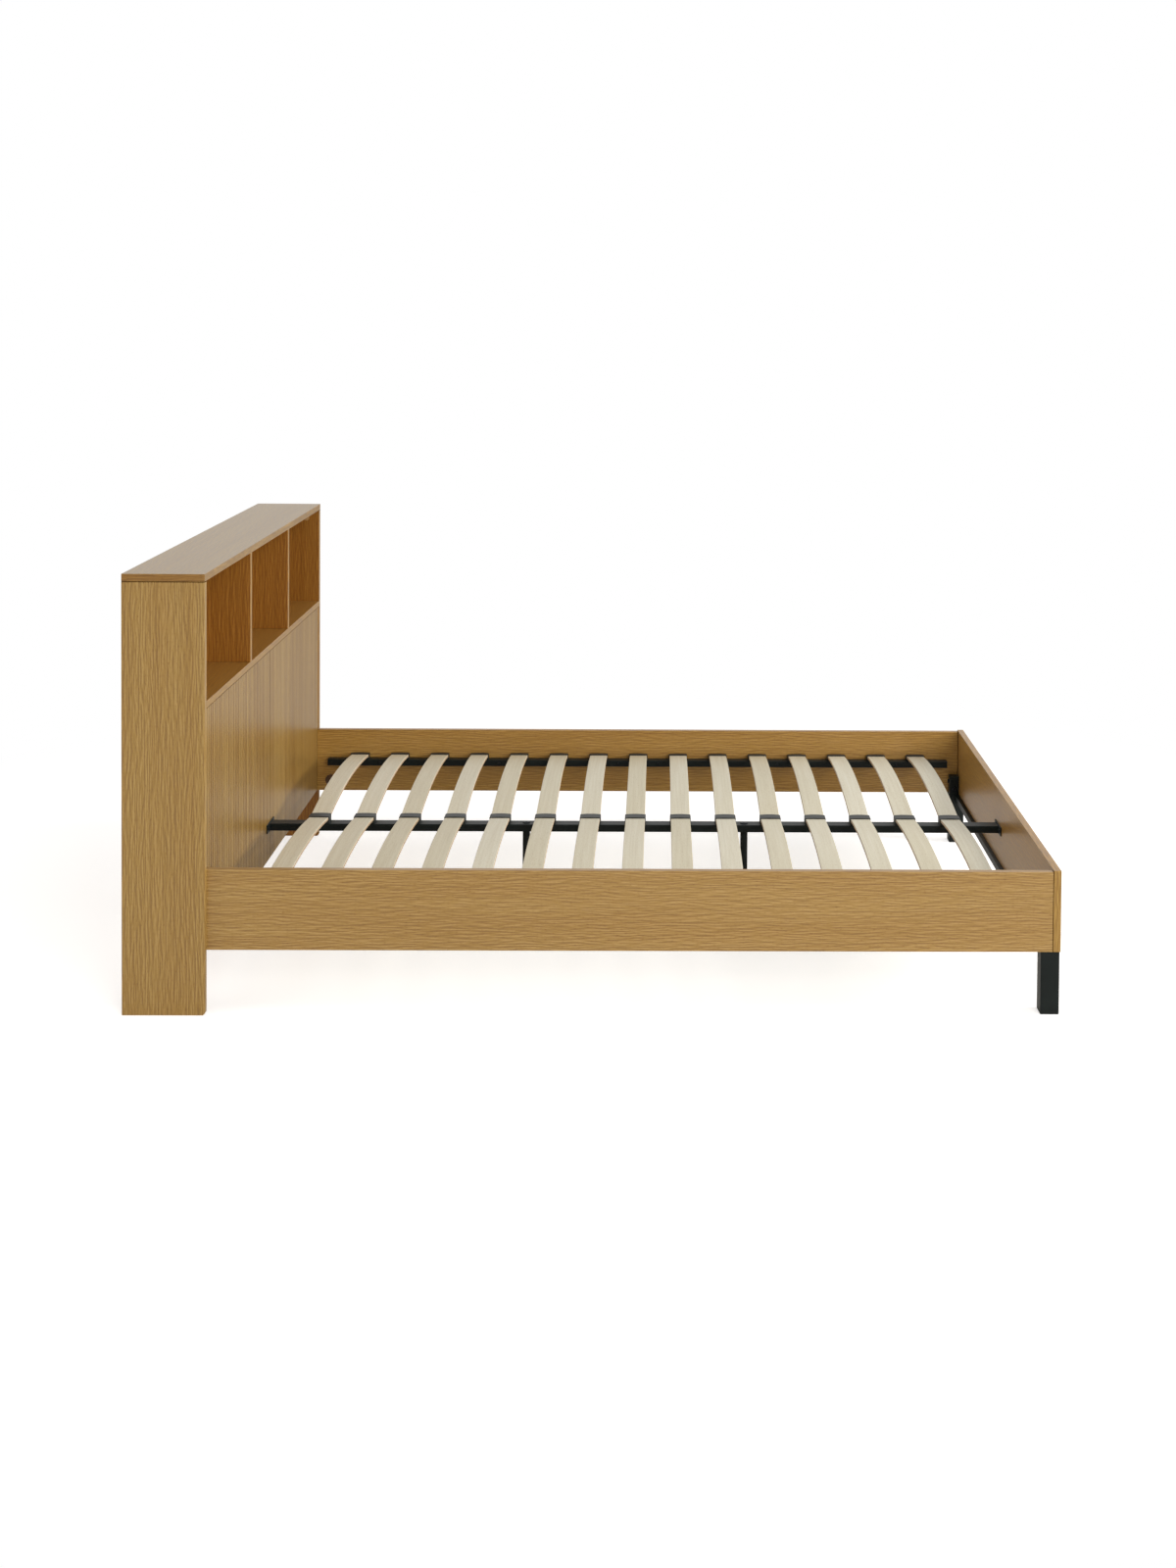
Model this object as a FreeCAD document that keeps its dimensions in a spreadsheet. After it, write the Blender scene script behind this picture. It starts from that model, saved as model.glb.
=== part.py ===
"""Bookcase headboard bed for a 1400 x 2000 mm mattress, as a parametric document.

Frame: X runs from the headboard (low) to the footboard (high), Y across the bed, Z up.
The origin is on the floor, in the middle of the bed's length and width.
Left is the low-Y side, as seen from the foot of the bed looking at the headboard.
All sizes are millimetres.
"""
import FreeCAD, Part
import os
import re

import Sketcher
from FreeCAD import Rotation, Vector

SIZES = [
    # mattress and the room left round it
    ("mattress_length", 2000),
    ("mattress_width", 1400),
    ("length_play", 10),
    ("width_play", 10),
    # boards: foil-faced particle board with rounded edge bands
    ("board_thickness", 18),
    ("edge_round", 1),
    ("headboard_depth", 195),
    ("headboard_height", 1045),
    ("shelf_height", 742),
    ("rail_inset", 18),
    ("back_thickness", 3),
    ("toe_chamfer", 5),
    # grooved panels below the shelf, with a stile behind their seam
    ("panel_recess", 2),
    ("flute_count", 40),
    ("groove_width", 3),
    ("groove_depth", 2.5),
    ("seam_gap", 1),
    ("stile_width", 80),
    # rails and footboard, which stand on the legs
    ("leg_height", 150),
    ("rail_height", 192),
    ("footboard_height", 195),
    # welded steel foot frame
    ("leg_size", 45),
    ("leg_wall", 2),
    ("leg_setback", 2),
    ("leg_top_plate", 3),
    ("crossbar_size", 25),
    ("crossbar_vent", 8),
    ("tube_wall", 1.5),
    ("post_size", 30),
    ("post_height", 58),
    ("plug_flange", 3),
    ("plug_depth", 15),
    # steel bearers on the rails, and the spine rail down the middle
    ("bearer_width", 30),
    ("bearer_thickness", 20),
    ("bearer_rise", 105),
    ("bearer_end_gap", 38),
    ("spine_width", 40),
    ("spine_thickness", 20),
    ("spine_drop", 4),
    ("end_plate_width", 90),
    ("end_plate_height", 24),
    ("end_plate_thickness", 3),
    # sprung slats and their plastic caps
    ("row_count", 15),
    ("row_margin", 137),
    ("slat_width", 53),
    ("slat_thickness", 8),
    ("slat_camber", 22),
    ("slat_rail_gap", 6),
    ("slat_middle_gap", 3),
    ("cap_width", 57),
    ("cap_cover", 15),
    ("cap_floor", 3),
    ("cap_wall", 3),
    ("cap_roof", 1.5),
    ("cap_crown", 1.5),
    ("peg_diameter", 8),
    ("peg_length", 10),
    # support legs under the spine, with screw feet
    ("support_diameter", 20),
    ("support_wall", 2),
    ("support_plug", 25),
    ("support_row_count", 2.5),
    ("support_shift", 10),
    ("foot_diameter", 30),
    ("foot_height", 8),
    ("foot_travel", 12),
    ("stem_diameter", 8),
    ("stem_length", 40),
    # fittings
    ("cam_diameter", 15),
    ("cam_depth", 12.3),
    ("cam_reach", 24),
    ("cam_setback", 40),
    ("dowel_diameter", 6),
    ("dowel_grip", 11),
    ("connector_diameter", 35),
    ("connector_depth", 14),
    ("connector_rim", 1.5),
    ("connector_reach", 43.5),
    ("connector_rise", 32),
    ("bolt_diameter", 8),
    ("bolt_grip", 14),
    ("support_bolt_diameter", 8),
    ("support_bolt_grip", 20),
    ("support_bolt_head", 22),
    ("support_bolt_head_height", 3),
    ("corner_bolt_diameter", 6),
    ("corner_bolt_head", 12),
    ("corner_bolt_head_height", 4),
    ("corner_bolt_low", 18),
    ("corner_bolt_high", 40),
    ("screw_diameter", 4),
    ("screw_head", 8),
    ("screw_head_height", 2.5),
    ("screw_grip", 13),
    ("plate_screw_spread", 70),
    # clearances
    ("slat_fit", 0.3),
    ("plug_fit", 0.3),
    ("bore_fit", 0.4),
    ("stem_fit", 0.2),
]

# Places that several pieces share, written in the names of the sizes.
INNER_LENGTH = "(mattress_length + length_play)"
BED_LENGTH = f"(headboard_depth - panel_recess + {INNER_LENGTH} + board_thickness)"
REAR = f"(-{BED_LENGTH} / 2)"
FRONT = f"({REAR} + headboard_depth)"
PANEL_FACE = f"({FRONT} - panel_recess)"
PANEL_BACK = f"({PANEL_FACE} - board_thickness)"
FOOT_IN = f"({PANEL_FACE} + {INNER_LENGTH})"
FOOT_OUT = f"({FOOT_IN} + board_thickness)"
INNER_MIDDLE = f"(({PANEL_FACE} + {FOOT_IN}) / 2)"
INSIDE_BACK = f"({REAR} + back_thickness)"
RAIL_IN = "((mattress_width + width_play) / 2)"
RAIL_OUT = f"({RAIL_IN} + board_thickness)"
RAIL_CORE = f"({RAIL_IN} + board_thickness / 2)"
GABLE_OUT = f"({RAIL_OUT} + rail_inset)"
GABLE_IN = f"({GABLE_OUT} - board_thickness)"
TOP_UNDERSIDE = "(headboard_height - board_thickness)"
SHELF_UNDERSIDE = "(shelf_height - board_thickness)"
LEG_OUT = f"({FOOT_OUT} - leg_setback)"
LEG_MIDDLE = f"({LEG_OUT} - leg_size / 2)"
ROW_PITCH = f"(({INNER_LENGTH} - 2 * row_margin) / (row_count - 1))"
CONNECTOR_HEIGHT = "(leg_height + connector_rise)"
BEARER_TOP = "(leg_height + bearer_rise)"
BEARER_UNDERSIDE = f"({BEARER_TOP} - bearer_thickness)"
BEARER_CORE = f"({BEARER_TOP} - bearer_thickness / 2)"
SPINE_TOP = f"({BEARER_TOP} - spine_drop)"
SPINE_UNDERSIDE = f"({SPINE_TOP} - spine_thickness)"
SPINE_CORE = f"({SPINE_TOP} - spine_thickness / 2)"
SLAT_SEAT = f"({BEARER_TOP} + cap_floor)"

# A slat's underside is an arc of slat_camber over the chord between its ends.
SLAT_OUT = f"({RAIL_IN} - slat_rail_gap)"
SLAT_CHORD = f"({SLAT_OUT} - slat_middle_gap)"
SLAT_MIDDLE = f"(({SLAT_OUT} + slat_middle_gap) / 2)"
SLAT_RADIUS = f"(({SLAT_CHORD} * {SLAT_CHORD} / 4 + slat_camber * slat_camber) / (2 * slat_camber))"
SLAT_AXIS = f"({SLAT_SEAT} + slat_camber - {SLAT_RADIUS})"

# The slat climbs inside its cap, so the cap's roof stands above the climb.
CAP_CLIMB = f"(4 * slat_camber * cap_cover / {SLAT_CHORD})"
CAP_SHOULDER = f"({SLAT_SEAT} + slat_thickness + {CAP_CLIMB} + slat_fit + cap_roof)"
CAP_TOP = f"({CAP_SHOULDER} + cap_crown)"
CROWN_RADIUS = "((cap_width * cap_width / 4 + cap_crown * cap_crown) / (2 * cap_crown))"

# The support legs stand between two rows of slats, where their bolts have room.
SUPPORT_OFFSET = f"(support_row_count * {ROW_PITCH} - support_shift)"
SUPPORT_BASE = "(foot_height + foot_travel)"

SIDES = {"left": -1, "right": 1}
ENDS = {"head": -1, "foot": 1}
OUTWARD = {-1: "-Y", 1: "Y"}
TURNS = {
    "X": Rotation(Vector(0, 1, 0), 90),
    "-X": Rotation(Vector(0, 1, 0), -90),
    "Y": Rotation(Vector(1, 0, 0), -90),
    "-Y": Rotation(Vector(1, 0, 0), 90),
    "Z": Rotation(),
    "-Z": Rotation(Vector(1, 0, 0), 180),
}
OPPOSITE = {"X": "-X", "-X": "X", "Y": "-Y", "-Y": "Y", "Z": "-Z", "-Z": "Z"}
# Rows of slats whose gaps hold the bearers' screws, counted from the middle row.
SCREW_ROWS = (-6.5, -3.5, -0.5, 0.5, 3.5, 6.5)

ALIASES = {alias for alias, value in SIZES}

doc = FreeCAD.newDocument("bookcase_headboard_bed")
sheet = doc.addObject("Spreadsheet::Sheet", "sizes")
for line, (alias, value) in enumerate(SIZES, start=1):
    sheet.set(f"A{line}", alias)
    sheet.set(f"B{line}", str(value))
    sheet.setAlias(f"B{line}", alias)
doc.recompute()

nodes = []


# ---------------------------------------------------------------- small helpers

def cells(formula):
    """The formula with each size pointing at its cell in the sheet."""
    return re.sub(r"[a-z_]+",
                  lambda word: "sizes." + word[0] if word[0] in ALIASES else word[0],
                  str(formula))


def bind(item, **formulas):
    """Tie properties of an object to the sheet."""
    for name, formula in formulas.items():
        item.setExpression(name, cells(formula))
    return item


def place(item, x=0, y=0, z=0, axis="Z"):
    """Put an object at a point, with its own Z axis along the named axis."""
    item.Placement.Rotation = TURNS[axis]
    for name, formula in zip("xyz", (x, y, z)):
        item.setExpression(f"Placement.Base.{name}", cells(formula))
    return item


def node(item, name):
    """Name a finished sub-part."""
    item.Label = name
    nodes.append(item)
    return item


def block(name, x, y, z):
    """A plain box from (low, size) pairs along X, Y and Z."""
    item = doc.addObject("Part::Box", name)
    bind(item, Length=x[1], Width=y[1], Height=z[1])
    return place(item, x[0], y[0], z[0])


def rod(name, diameter, length, x, y, z, axis="Z"):
    """A cylinder that starts at a point and runs along the named axis."""
    item = doc.addObject("Part::Cylinder", name)
    bind(item, Radius=f"({diameter}) / 2", Height=length)
    return place(item, x, y, z, axis)


def group(name, items):
    """Several solids as one object."""
    item = doc.addObject("Part::Compound", name)
    item.Links = items
    return item


def cut(name, base, tools):
    """A solid less its cutters."""
    item = doc.addObject("Part::Cut", name)
    item.Base = base
    item.Tool = tools[0] if len(tools) == 1 else group(f"{name}_cutters", tools)
    return item


def common(name, base, tool):
    """What two solids share."""
    item = doc.addObject("Part::Common", name)
    item.Base = base
    item.Tool = tool
    return item


def fuse(name, items):
    """Solids welded or moulded into one."""
    item = doc.addObject("Part::MultiFuse", name)
    item.Shapes = items
    return item


def board(name, x, y, z):
    """A board with all its edges rounded."""
    body = doc.addObject("PartDesign::Body", name)
    blank = body.newObject("PartDesign::AdditiveBox", f"{name}_blank")
    bind(blank, Length=x[1], Width=y[1], Height=z[1])
    doc.recompute()
    rounding = body.newObject("PartDesign::Fillet", f"{name}_edges")
    rounding.Base = (blank, [""])
    rounding.UseAllEdges = True
    bind(rounding, Radius="edge_round")
    body.Tip = rounding
    return place(body, x[0], y[0], z[0])


def sideways(side, low, width):
    """The (low, size) pair in Y of something on one side, given for the right side."""
    return (low if side > 0 else f"(-({low}) - ({width}))", width)


def tube_along_x(name, x, y, z):
    """A rectangular steel tube along X, open at both ends."""
    bore = block(f"{name}_bore", x, (f"{y[0]} + tube_wall", f"{y[1]} - 2 * tube_wall"),
                 (f"{z[0]} + tube_wall", f"{z[1]} - 2 * tube_wall"))
    return block(f"{name}_skin", x, y, z), bore


def fastener(name, kind, length, x, y, z, axis):
    """A headed fastener whose head seats at a point, and the bore that it needs."""
    diameter = f"{kind}_diameter"
    shank = rod(f"{name}_shank", diameter, length, x, y, z, axis)
    head = rod(f"{name}_head", f"{kind}_head", f"{kind}_head_height", x, y, z, OPPOSITE[axis])
    bore = rod(f"{name}_bore", f"{diameter} + bore_fit", f"{length} + bore_fit", x, y, z, axis)
    return fuse(name, [shank, head]), bore


def row_place(row):
    """The middle of a row of slats, counted from 1 at the headboard."""
    return f"({INNER_MIDDLE} + {ROW_PITCH} * ({row} - (row_count + 1) / 2))"


def polygon(sketch, corners):
    """A closed outline; each corner is (x, y, x formula, y formula) from the origin."""
    count = len(corners)
    for index, corner in enumerate(corners):
        following = corners[(index + 1) % count]
        sketch.addGeometry(Part.LineSegment(Vector(corner[0], corner[1], 0),
                                            Vector(following[0], following[1], 0)))
    for index in range(count):
        sketch.addConstraint(Sketcher.Constraint("Coincident", index, 2, (index + 1) % count, 1))
    for index, corner in enumerate(corners):
        for way, value, formula in zip(("DistanceX", "DistanceY"), corner[:2], corner[2:]):
            number = sketch.addConstraint(Sketcher.Constraint(way, -1, 1, index, 1, value))
            sketch.setExpression(f"Constraints[{number}]", cells(formula))


# ---------------------------------------------------------------- headboard

def top_cam(tag, side, x):
    """Cam in a gable's inner face that draws the top down: pieces and bores."""
    face = f"({side} * {GABLE_IN})"
    core = f"({side} * ({GABLE_IN} + board_thickness / 2))"
    height = f"({TOP_UNDERSIDE} - cam_reach)"
    slot = rod(f"{tag}_slot", "dowel_diameter + bore_fit", "cam_diameter", x, core, height)
    cam = rod(f"{tag}_cam", "cam_diameter", "cam_depth", x, face, height, OUTWARD[side])
    dowel = rod(f"{tag}_dowel", "dowel_diameter", "cam_reach + dowel_grip", x, core, height)
    cam_bore = rod(f"{tag}_cam_bore", "cam_diameter + bore_fit", "cam_depth + bore_fit",
                   x, face, height, OUTWARD[side])
    dowel_bore = rod(f"{tag}_dowel_bore", "dowel_diameter + bore_fit",
                     "cam_reach + dowel_grip + bore_fit", x, core, height)
    return [cut(f"{tag}_cut", cam, [slot]), dowel], cam_bore, dowel_bore


def shelf_cam(tag, side, x):
    """Cam in the shelf's underside that draws it against a gable: pieces and bores."""
    reach = f"({side} * ({GABLE_IN} - cam_reach))"
    core = f"({SHELF_UNDERSIDE} + board_thickness / 2)"
    slot = rod(f"{tag}_slot", "dowel_diameter + bore_fit", "cam_diameter", x, reach, core,
               OUTWARD[side])
    cam = rod(f"{tag}_cam", "cam_diameter", "cam_depth", x, reach, SHELF_UNDERSIDE)
    dowel = rod(f"{tag}_dowel", "dowel_diameter", "cam_reach + dowel_grip", x, reach, core,
                OUTWARD[side])
    cam_bore = rod(f"{tag}_cam_bore", "cam_diameter + bore_fit", "cam_depth + bore_fit",
                   x, reach, SHELF_UNDERSIDE)
    dowel_bore = rod(f"{tag}_dowel_bore", "dowel_diameter + bore_fit",
                     "cam_reach + dowel_grip + bore_fit", x, reach, core, OUTWARD[side])
    return [cut(f"{tag}_cut", cam, [slot]), dowel], cam_bore, dowel_bore


def carcass():
    """Gables, top and shelf, with the cam fittings that hold them together."""
    fittings = []
    top_bores = []
    shelf_bores = []
    for name, side in SIDES.items():
        gable_bores = []
        for place_name, x in (("front", f"({FRONT} - cam_setback)"),
                              ("rear", f"({REAR} + cam_setback)")):
            pieces, cam_bore, dowel_bore = top_cam(f"top_{name}_{place_name}", side, x)
            fittings += pieces
            gable_bores += [cam_bore, dowel_bore]
            top_bores.append(dowel_bore)
            pieces, cam_bore, dowel_bore = shelf_cam(f"shelf_{name}_{place_name}", side, x)
            fittings += pieces
            gable_bores.append(dowel_bore)
            shelf_bores += [cam_bore, dowel_bore]
        blank = board(f"{name}_gable", (REAR, "headboard_depth"),
                      sideways(side, GABLE_IN, "board_thickness"), (0, TOP_UNDERSIDE))
        node(cut(f"{name}_gable_cut", blank, gable_bores + [toe(name, side)]), f"gable_{name}")
    top = board("top", (REAR, "headboard_depth"), (f"-{GABLE_OUT}", f"2 * {GABLE_OUT}"),
                (TOP_UNDERSIDE, "board_thickness"))
    node(cut("top_cut", top, top_bores), "headboard_top")
    shelf = board("shelf", (INSIDE_BACK, f"{FRONT} - {INSIDE_BACK}"),
                  (f"-{GABLE_IN}", f"2 * {GABLE_IN}"), (SHELF_UNDERSIDE, "board_thickness"))
    node(cut("shelf_cut", shelf, shelf_bores), "headboard_shelf")
    node(group("cams_and_dowels", fittings), "cam_fittings")


def toe(name, side):
    """Cutter for the small chamfer at a gable's lower front corner."""
    cutter = block(f"{name}_toe", (0, "2 * toe_chamfer"),
                   (0, "3 * board_thickness"), (0, "2 * toe_chamfer"))
    place(cutter, f"{FRONT} - toe_chamfer",
          sideways(side, f"{GABLE_IN} - board_thickness", "3 * board_thickness")[0], 0)
    cutter.Placement.Rotation = Rotation(Vector(0, 1, 0), 45)
    return cutter


def bookcase_inside():
    """Dividers of the cubbies, back sheet, base board and the stile behind the seam."""
    depth = (INSIDE_BACK, f"{FRONT} - {INSIDE_BACK}")
    full_width = (f"-{GABLE_IN}", f"2 * {GABLE_IN}")
    cubby_width = f"((2 * {GABLE_IN} - 2 * board_thickness) / 3)"
    for name, side in SIDES.items():
        node(board(f"{name}_divider", depth,
                   sideways(side, f"{cubby_width} / 2", "board_thickness"),
                   ("shelf_height", f"{TOP_UNDERSIDE} - shelf_height")), f"divider_{name}")
    node(block("back", (REAR, "back_thickness"), full_width,
               ("leg_height", f"{TOP_UNDERSIDE} - leg_height")), "back_panel")
    node(board("base", (INSIDE_BACK, f"{PANEL_BACK} - {INSIDE_BACK}"), full_width,
               ("leg_height", "board_thickness")), "headboard_base")
    node(board("stile", (f"{PANEL_BACK} - board_thickness", "board_thickness"),
               ("-stile_width / 2", "stile_width"),
               ("leg_height + board_thickness",
                f"{SHELF_UNDERSIDE} - leg_height - board_thickness")), "centre_stile")


def fluted_panel(name, side, bores):
    """Half of the grooved front: one upright V-groove, repeated across the panel."""
    width = f"({GABLE_IN} - seam_gap / 2)"
    pitch = f"({width} / flute_count)"
    body = doc.addObject("PartDesign::Body", f"{name}_fluted")
    datums = {datum.Role: datum for datum in body.Origin.OriginFeatures}
    blank = body.newObject("PartDesign::AdditiveBox", f"{name}_fluted_blank")
    bind(blank, Length="board_thickness", Width=width,
         Height=f"{SHELF_UNDERSIDE} - leg_height")
    sketch = body.newObject("Sketcher::SketchObject", f"{name}_groove_profile")
    sketch.AttachmentSupport = (datums["XY_Plane"], [""])
    sketch.MapMode = "FlatFace"
    polygon(sketch, [
        (2, 1, "board_thickness", f"{pitch} - groove_width / 2"),
        (2, 3, "board_thickness", f"{pitch} + groove_width / 2"),
        (1, 2, "board_thickness - groove_depth", pitch),
    ])
    doc.recompute()
    groove = body.newObject("PartDesign::Pocket", f"{name}_groove")
    groove.Profile = sketch
    groove.Type = "ThroughAll"
    groove.Reversed = True
    doc.recompute()
    if groove.Shape.Volume >= blank.Shape.Volume:
        raise RuntimeError(f"the groove of {body.Label} cuts nothing")
    pattern = body.newObject("PartDesign::LinearPattern", f"{name}_grooves")
    pattern.Originals = [groove]
    pattern.Direction = (datums["Y_Axis"], [""])
    bind(pattern, Length=f"{pitch} * (flute_count - 2)", Occurrences="flute_count - 1")
    body.Tip = pattern
    place(body, PANEL_BACK, sideways(side, "seam_gap / 2", width)[0], "leg_height")
    node(cut(f"{name}_fluted_cut", body, bores), f"fluted_panel_{name}")


# ---------------------------------------------------------------- rails and foot

def rail_connector(name, side):
    """Round cam housing in a rail's inner face, and its bolt into the panel."""
    middle = f"({PANEL_FACE} + connector_reach)"
    core = f"({side} * {RAIL_CORE})"
    rim = f"({side} * ({RAIL_IN} - connector_rim))"
    slot = rod(f"{name}_connector_slot", "bolt_diameter + bore_fit", "connector_diameter",
               middle, core, CONNECTOR_HEIGHT, "-X")
    housing = rod(f"{name}_connector_housing", "connector_diameter",
                  "connector_rim + connector_depth", middle, rim, CONNECTOR_HEIGHT,
                  OUTWARD[side])
    bolt = rod(f"{name}_connector_bolt", "bolt_diameter", "connector_reach + bolt_grip",
               middle, core, CONNECTOR_HEIGHT, "-X")
    housing_bore = rod(f"{name}_housing_bore", "connector_diameter + bore_fit",
                       "connector_rim + connector_depth + bore_fit", middle, rim,
                       CONNECTOR_HEIGHT, OUTWARD[side])
    bolt_bore = rod(f"{name}_bolt_bore", "bolt_diameter + bore_fit",
                    "connector_reach + bolt_grip + bore_fit", middle, core,
                    CONNECTOR_HEIGHT, "-X")
    pieces = [cut(f"{name}_connector_cut", housing, [slot]), bolt]
    return pieces, housing_bore, bolt_bore


def corner_bolts(name, side):
    """Bolts from inside a corner post: one into the rail, one into the footboard."""
    inner = f"({side} * ({RAIL_IN} - post_size))"
    middle = f"({side} * ({RAIL_IN} - post_size / 2))"
    rail_bolt, rail_bore = fastener(
        f"{name}_rail_bolt", "corner_bolt", "post_size + bolt_grip",
        f"({FOOT_IN} - post_size / 2)", inner, "(leg_height + corner_bolt_low)", OUTWARD[side])
    foot_bolt, foot_bore = fastener(
        f"{name}_foot_bolt", "corner_bolt", "post_size + bolt_grip",
        f"({FOOT_IN} - post_size)", middle, "(leg_height + corner_bolt_high)", "X")
    return [rail_bolt, foot_bolt], rail_bore, foot_bore


def foot_leg(name, side):
    """Square leg, open below and closed by its top plate."""
    x = (f"({LEG_OUT} - leg_size)", "leg_size")
    y = sideways(side, f"{RAIL_OUT} - leg_size", "leg_size")
    skin = block(f"{name}_leg_skin", x, y, ("plug_flange", "leg_height - plug_flange"))
    hollow = block(f"{name}_leg_hollow", (f"{x[0]} + leg_wall", "leg_size - 2 * leg_wall"),
                   (f"{y[0]} + leg_wall", "leg_size - 2 * leg_wall"),
                   ("plug_flange", "leg_height - plug_flange - leg_top_plate"))
    return cut(f"{name}_leg", skin, [hollow])


def corner_post(name, side, bores):
    """Short closed post inside the corner of a rail and the footboard."""
    x = (f"({FOOT_IN} - post_size)", "post_size")
    y = sideways(side, f"{RAIL_IN} - post_size", "post_size")
    skin = block(f"{name}_post_skin", x, y, ("leg_height", "post_height"))
    hollow = block(f"{name}_post_hollow", (f"{x[0]} + leg_wall", "post_size - 2 * leg_wall"),
                   (f"{y[0]} + leg_wall", "post_size - 2 * leg_wall"),
                   ("leg_height + leg_wall", "post_height - 2 * leg_wall"))
    return cut(f"{name}_post", skin, [hollow] + bores)


def crossbar():
    """Square tube between the legs, vented below because both its ends are welded shut."""
    length = f"(2 * ({RAIL_OUT} - leg_size))"
    start = f"(-({RAIL_OUT} - leg_size))"
    low = f"({LEG_MIDDLE} - crossbar_size / 2)"
    skin = block("crossbar_skin", (low, "crossbar_size"), (start, length),
                 ("leg_height - crossbar_size", "crossbar_size"))
    hollow = block("crossbar_hollow", (f"{low} + tube_wall", "crossbar_size - 2 * tube_wall"),
                   (start, length),
                   ("leg_height - crossbar_size + tube_wall", "crossbar_size - 2 * tube_wall"))
    vents = [rod(f"{name}_vent", "crossbar_vent", "2 * tube_wall", LEG_MIDDLE,
                 f"({side} * ({RAIL_OUT} - 2 * leg_size))",
                 "(leg_height - crossbar_size - tube_wall)") for name, side in SIDES.items()]
    return cut("crossbar", skin, [hollow] + vents)


def leg_plug(name, side):
    """Plastic plug in the open end of a leg; its flange stands on the floor."""
    x = f"({LEG_OUT} - leg_size)"
    y = sideways(side, f"{RAIL_OUT} - leg_size", "leg_size")[0]
    inset = "leg_wall + plug_fit"
    flange = block(f"{name}_plug_flange", (x, "leg_size"), (y, "leg_size"), (0, "plug_flange"))
    core = block(f"{name}_plug_core", (f"{x} + {inset}", f"leg_size - 2 * ({inset})"),
                 (f"{y} + {inset}", f"leg_size - 2 * ({inset})"),
                 (0, "plug_flange + plug_depth"))
    return fuse(f"{name}_plug", [flange, core])


def foot_end(corner_bores):
    """The welded foot frame and the plugs under its legs."""
    steel = [crossbar()]
    for name, side in SIDES.items():
        steel += [foot_leg(name, side), corner_post(name, side, corner_bores[name])]
    node(fuse("foot_steel", steel), "foot_frame")
    node(group("plugs", [leg_plug(name, side) for name, side in SIDES.items()]), "leg_plugs")


def side_rail(name, side, bores):
    """A side rail between the headboard's panel and the footboard."""
    blank = board(f"{name}_rail", (PANEL_FACE, INNER_LENGTH),
                  sideways(side, RAIL_IN, "board_thickness"), ("leg_height", "rail_height"))
    node(cut(f"{name}_rail_cut", blank, bores), f"side_rail_{name}")


def footboard(bores):
    """The footboard, across the ends of both rails."""
    blank = board("foot", (FOOT_IN, "board_thickness"), (f"-{RAIL_OUT}", f"2 * {RAIL_OUT}"),
                  ("leg_height", "footboard_height"))
    node(cut("foot_cut", blank, bores), "footboard")


# ---------------------------------------------------------------- slat base

def bearer_screws(name, side):
    """Screws through a bearer into its rail, in the gaps between rows of slats."""
    return [fastener(f"{name}_bearer_screw_{number}", "screw", "bearer_width + screw_grip",
                     f"({INNER_MIDDLE} + {ROW_PITCH} * {row})",
                     f"({side} * ({RAIL_IN} - bearer_width))", BEARER_CORE, OUTWARD[side])
            for number, row in enumerate(SCREW_ROWS, start=1)]


def plate_screws():
    """Screws through the spine's end plates: two at each end of the bed."""
    screws = {}
    for end, way in ENDS.items():
        face = f"({PANEL_FACE} + end_plate_thickness)" if way < 0 else \
            f"({FOOT_IN} - end_plate_thickness)"
        for name, side in SIDES.items():
            screws[end, name] = fastener(
                f"{end}_{name}_plate_screw", "screw", "end_plate_thickness + screw_grip",
                face, f"({side} * plate_screw_spread / 2)", SPINE_CORE, "-X" if way < 0 else "X")
    return screws


def peg_holes(name, y, top):
    """One hole for a cap's peg at each row of slats."""
    return [rod(f"{name}_peg_hole_{row:02d}", "peg_diameter + bore_fit",
                "peg_length + bore_fit", row_place(row), y, f"({top} - peg_length - bore_fit)")
            for row in rows()]


def rows():
    """Numbers of the rows of slats."""
    return range(1, int(sheet.get("row_count")) + 1)


def side_cap_middle(side):
    """Middle of a side cap across the bed, where its peg is."""
    return f"({side} * ({SLAT_OUT} - (cap_cover - slat_fit - cap_wall) / 2))"


def side_bearer(name, side, screw_bores):
    """Steel tube on a rail's inner face that carries the slats' outer ends."""
    skin, bore = tube_along_x(
        f"{name}_bearer", (f"({PANEL_FACE} + bearer_end_gap)", f"{INNER_LENGTH} - 2 * bearer_end_gap"),
        sideways(side, f"{RAIL_IN} - bearer_width", "bearer_width"),
        (BEARER_UNDERSIDE, "bearer_thickness"))
    holes = peg_holes(name, side_cap_middle(side), BEARER_TOP)
    node(cut(f"{name}_bearer", skin, [bore] + holes + screw_bores), f"side_bearer_{name}")


def support_bolt(end, way):
    """Bolt down through the spine into the top of a support leg."""
    return fastener(f"{end}_support_bolt", "support_bolt", "spine_thickness + support_bolt_grip",
                    f"({INNER_MIDDLE} + {way} * {SUPPORT_OFFSET})", 0, SPINE_TOP, "-Z")


def spine(screw_bores, bolt_bores):
    """Flat steel tube down the middle of the bed, with a plate welded on each end."""
    skin, bore = tube_along_x(
        "spine", (f"({PANEL_FACE} + end_plate_thickness)",
                  f"{INNER_LENGTH} - 2 * end_plate_thickness"),
        ("(-spine_width / 2)", "spine_width"), (SPINE_UNDERSIDE, "spine_thickness"))
    tube = cut("spine_tube", skin, [bore] + peg_holes("spine", 0, SPINE_TOP) + bolt_bores)
    plates = [block(f"{end}_end_plate", (x, "end_plate_thickness"),
                    ("-end_plate_width / 2", "end_plate_width"),
                    (f"{SPINE_CORE} - end_plate_height / 2", "end_plate_height"))
              for end, x in (("head", PANEL_FACE), ("foot", f"({FOOT_IN} - end_plate_thickness)"))]
    drilled = cut("end_plates_drilled", group("end_plates", plates), screw_bores)
    node(fuse("spine_welded", [tube, drilled]), "centre_rail")


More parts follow.
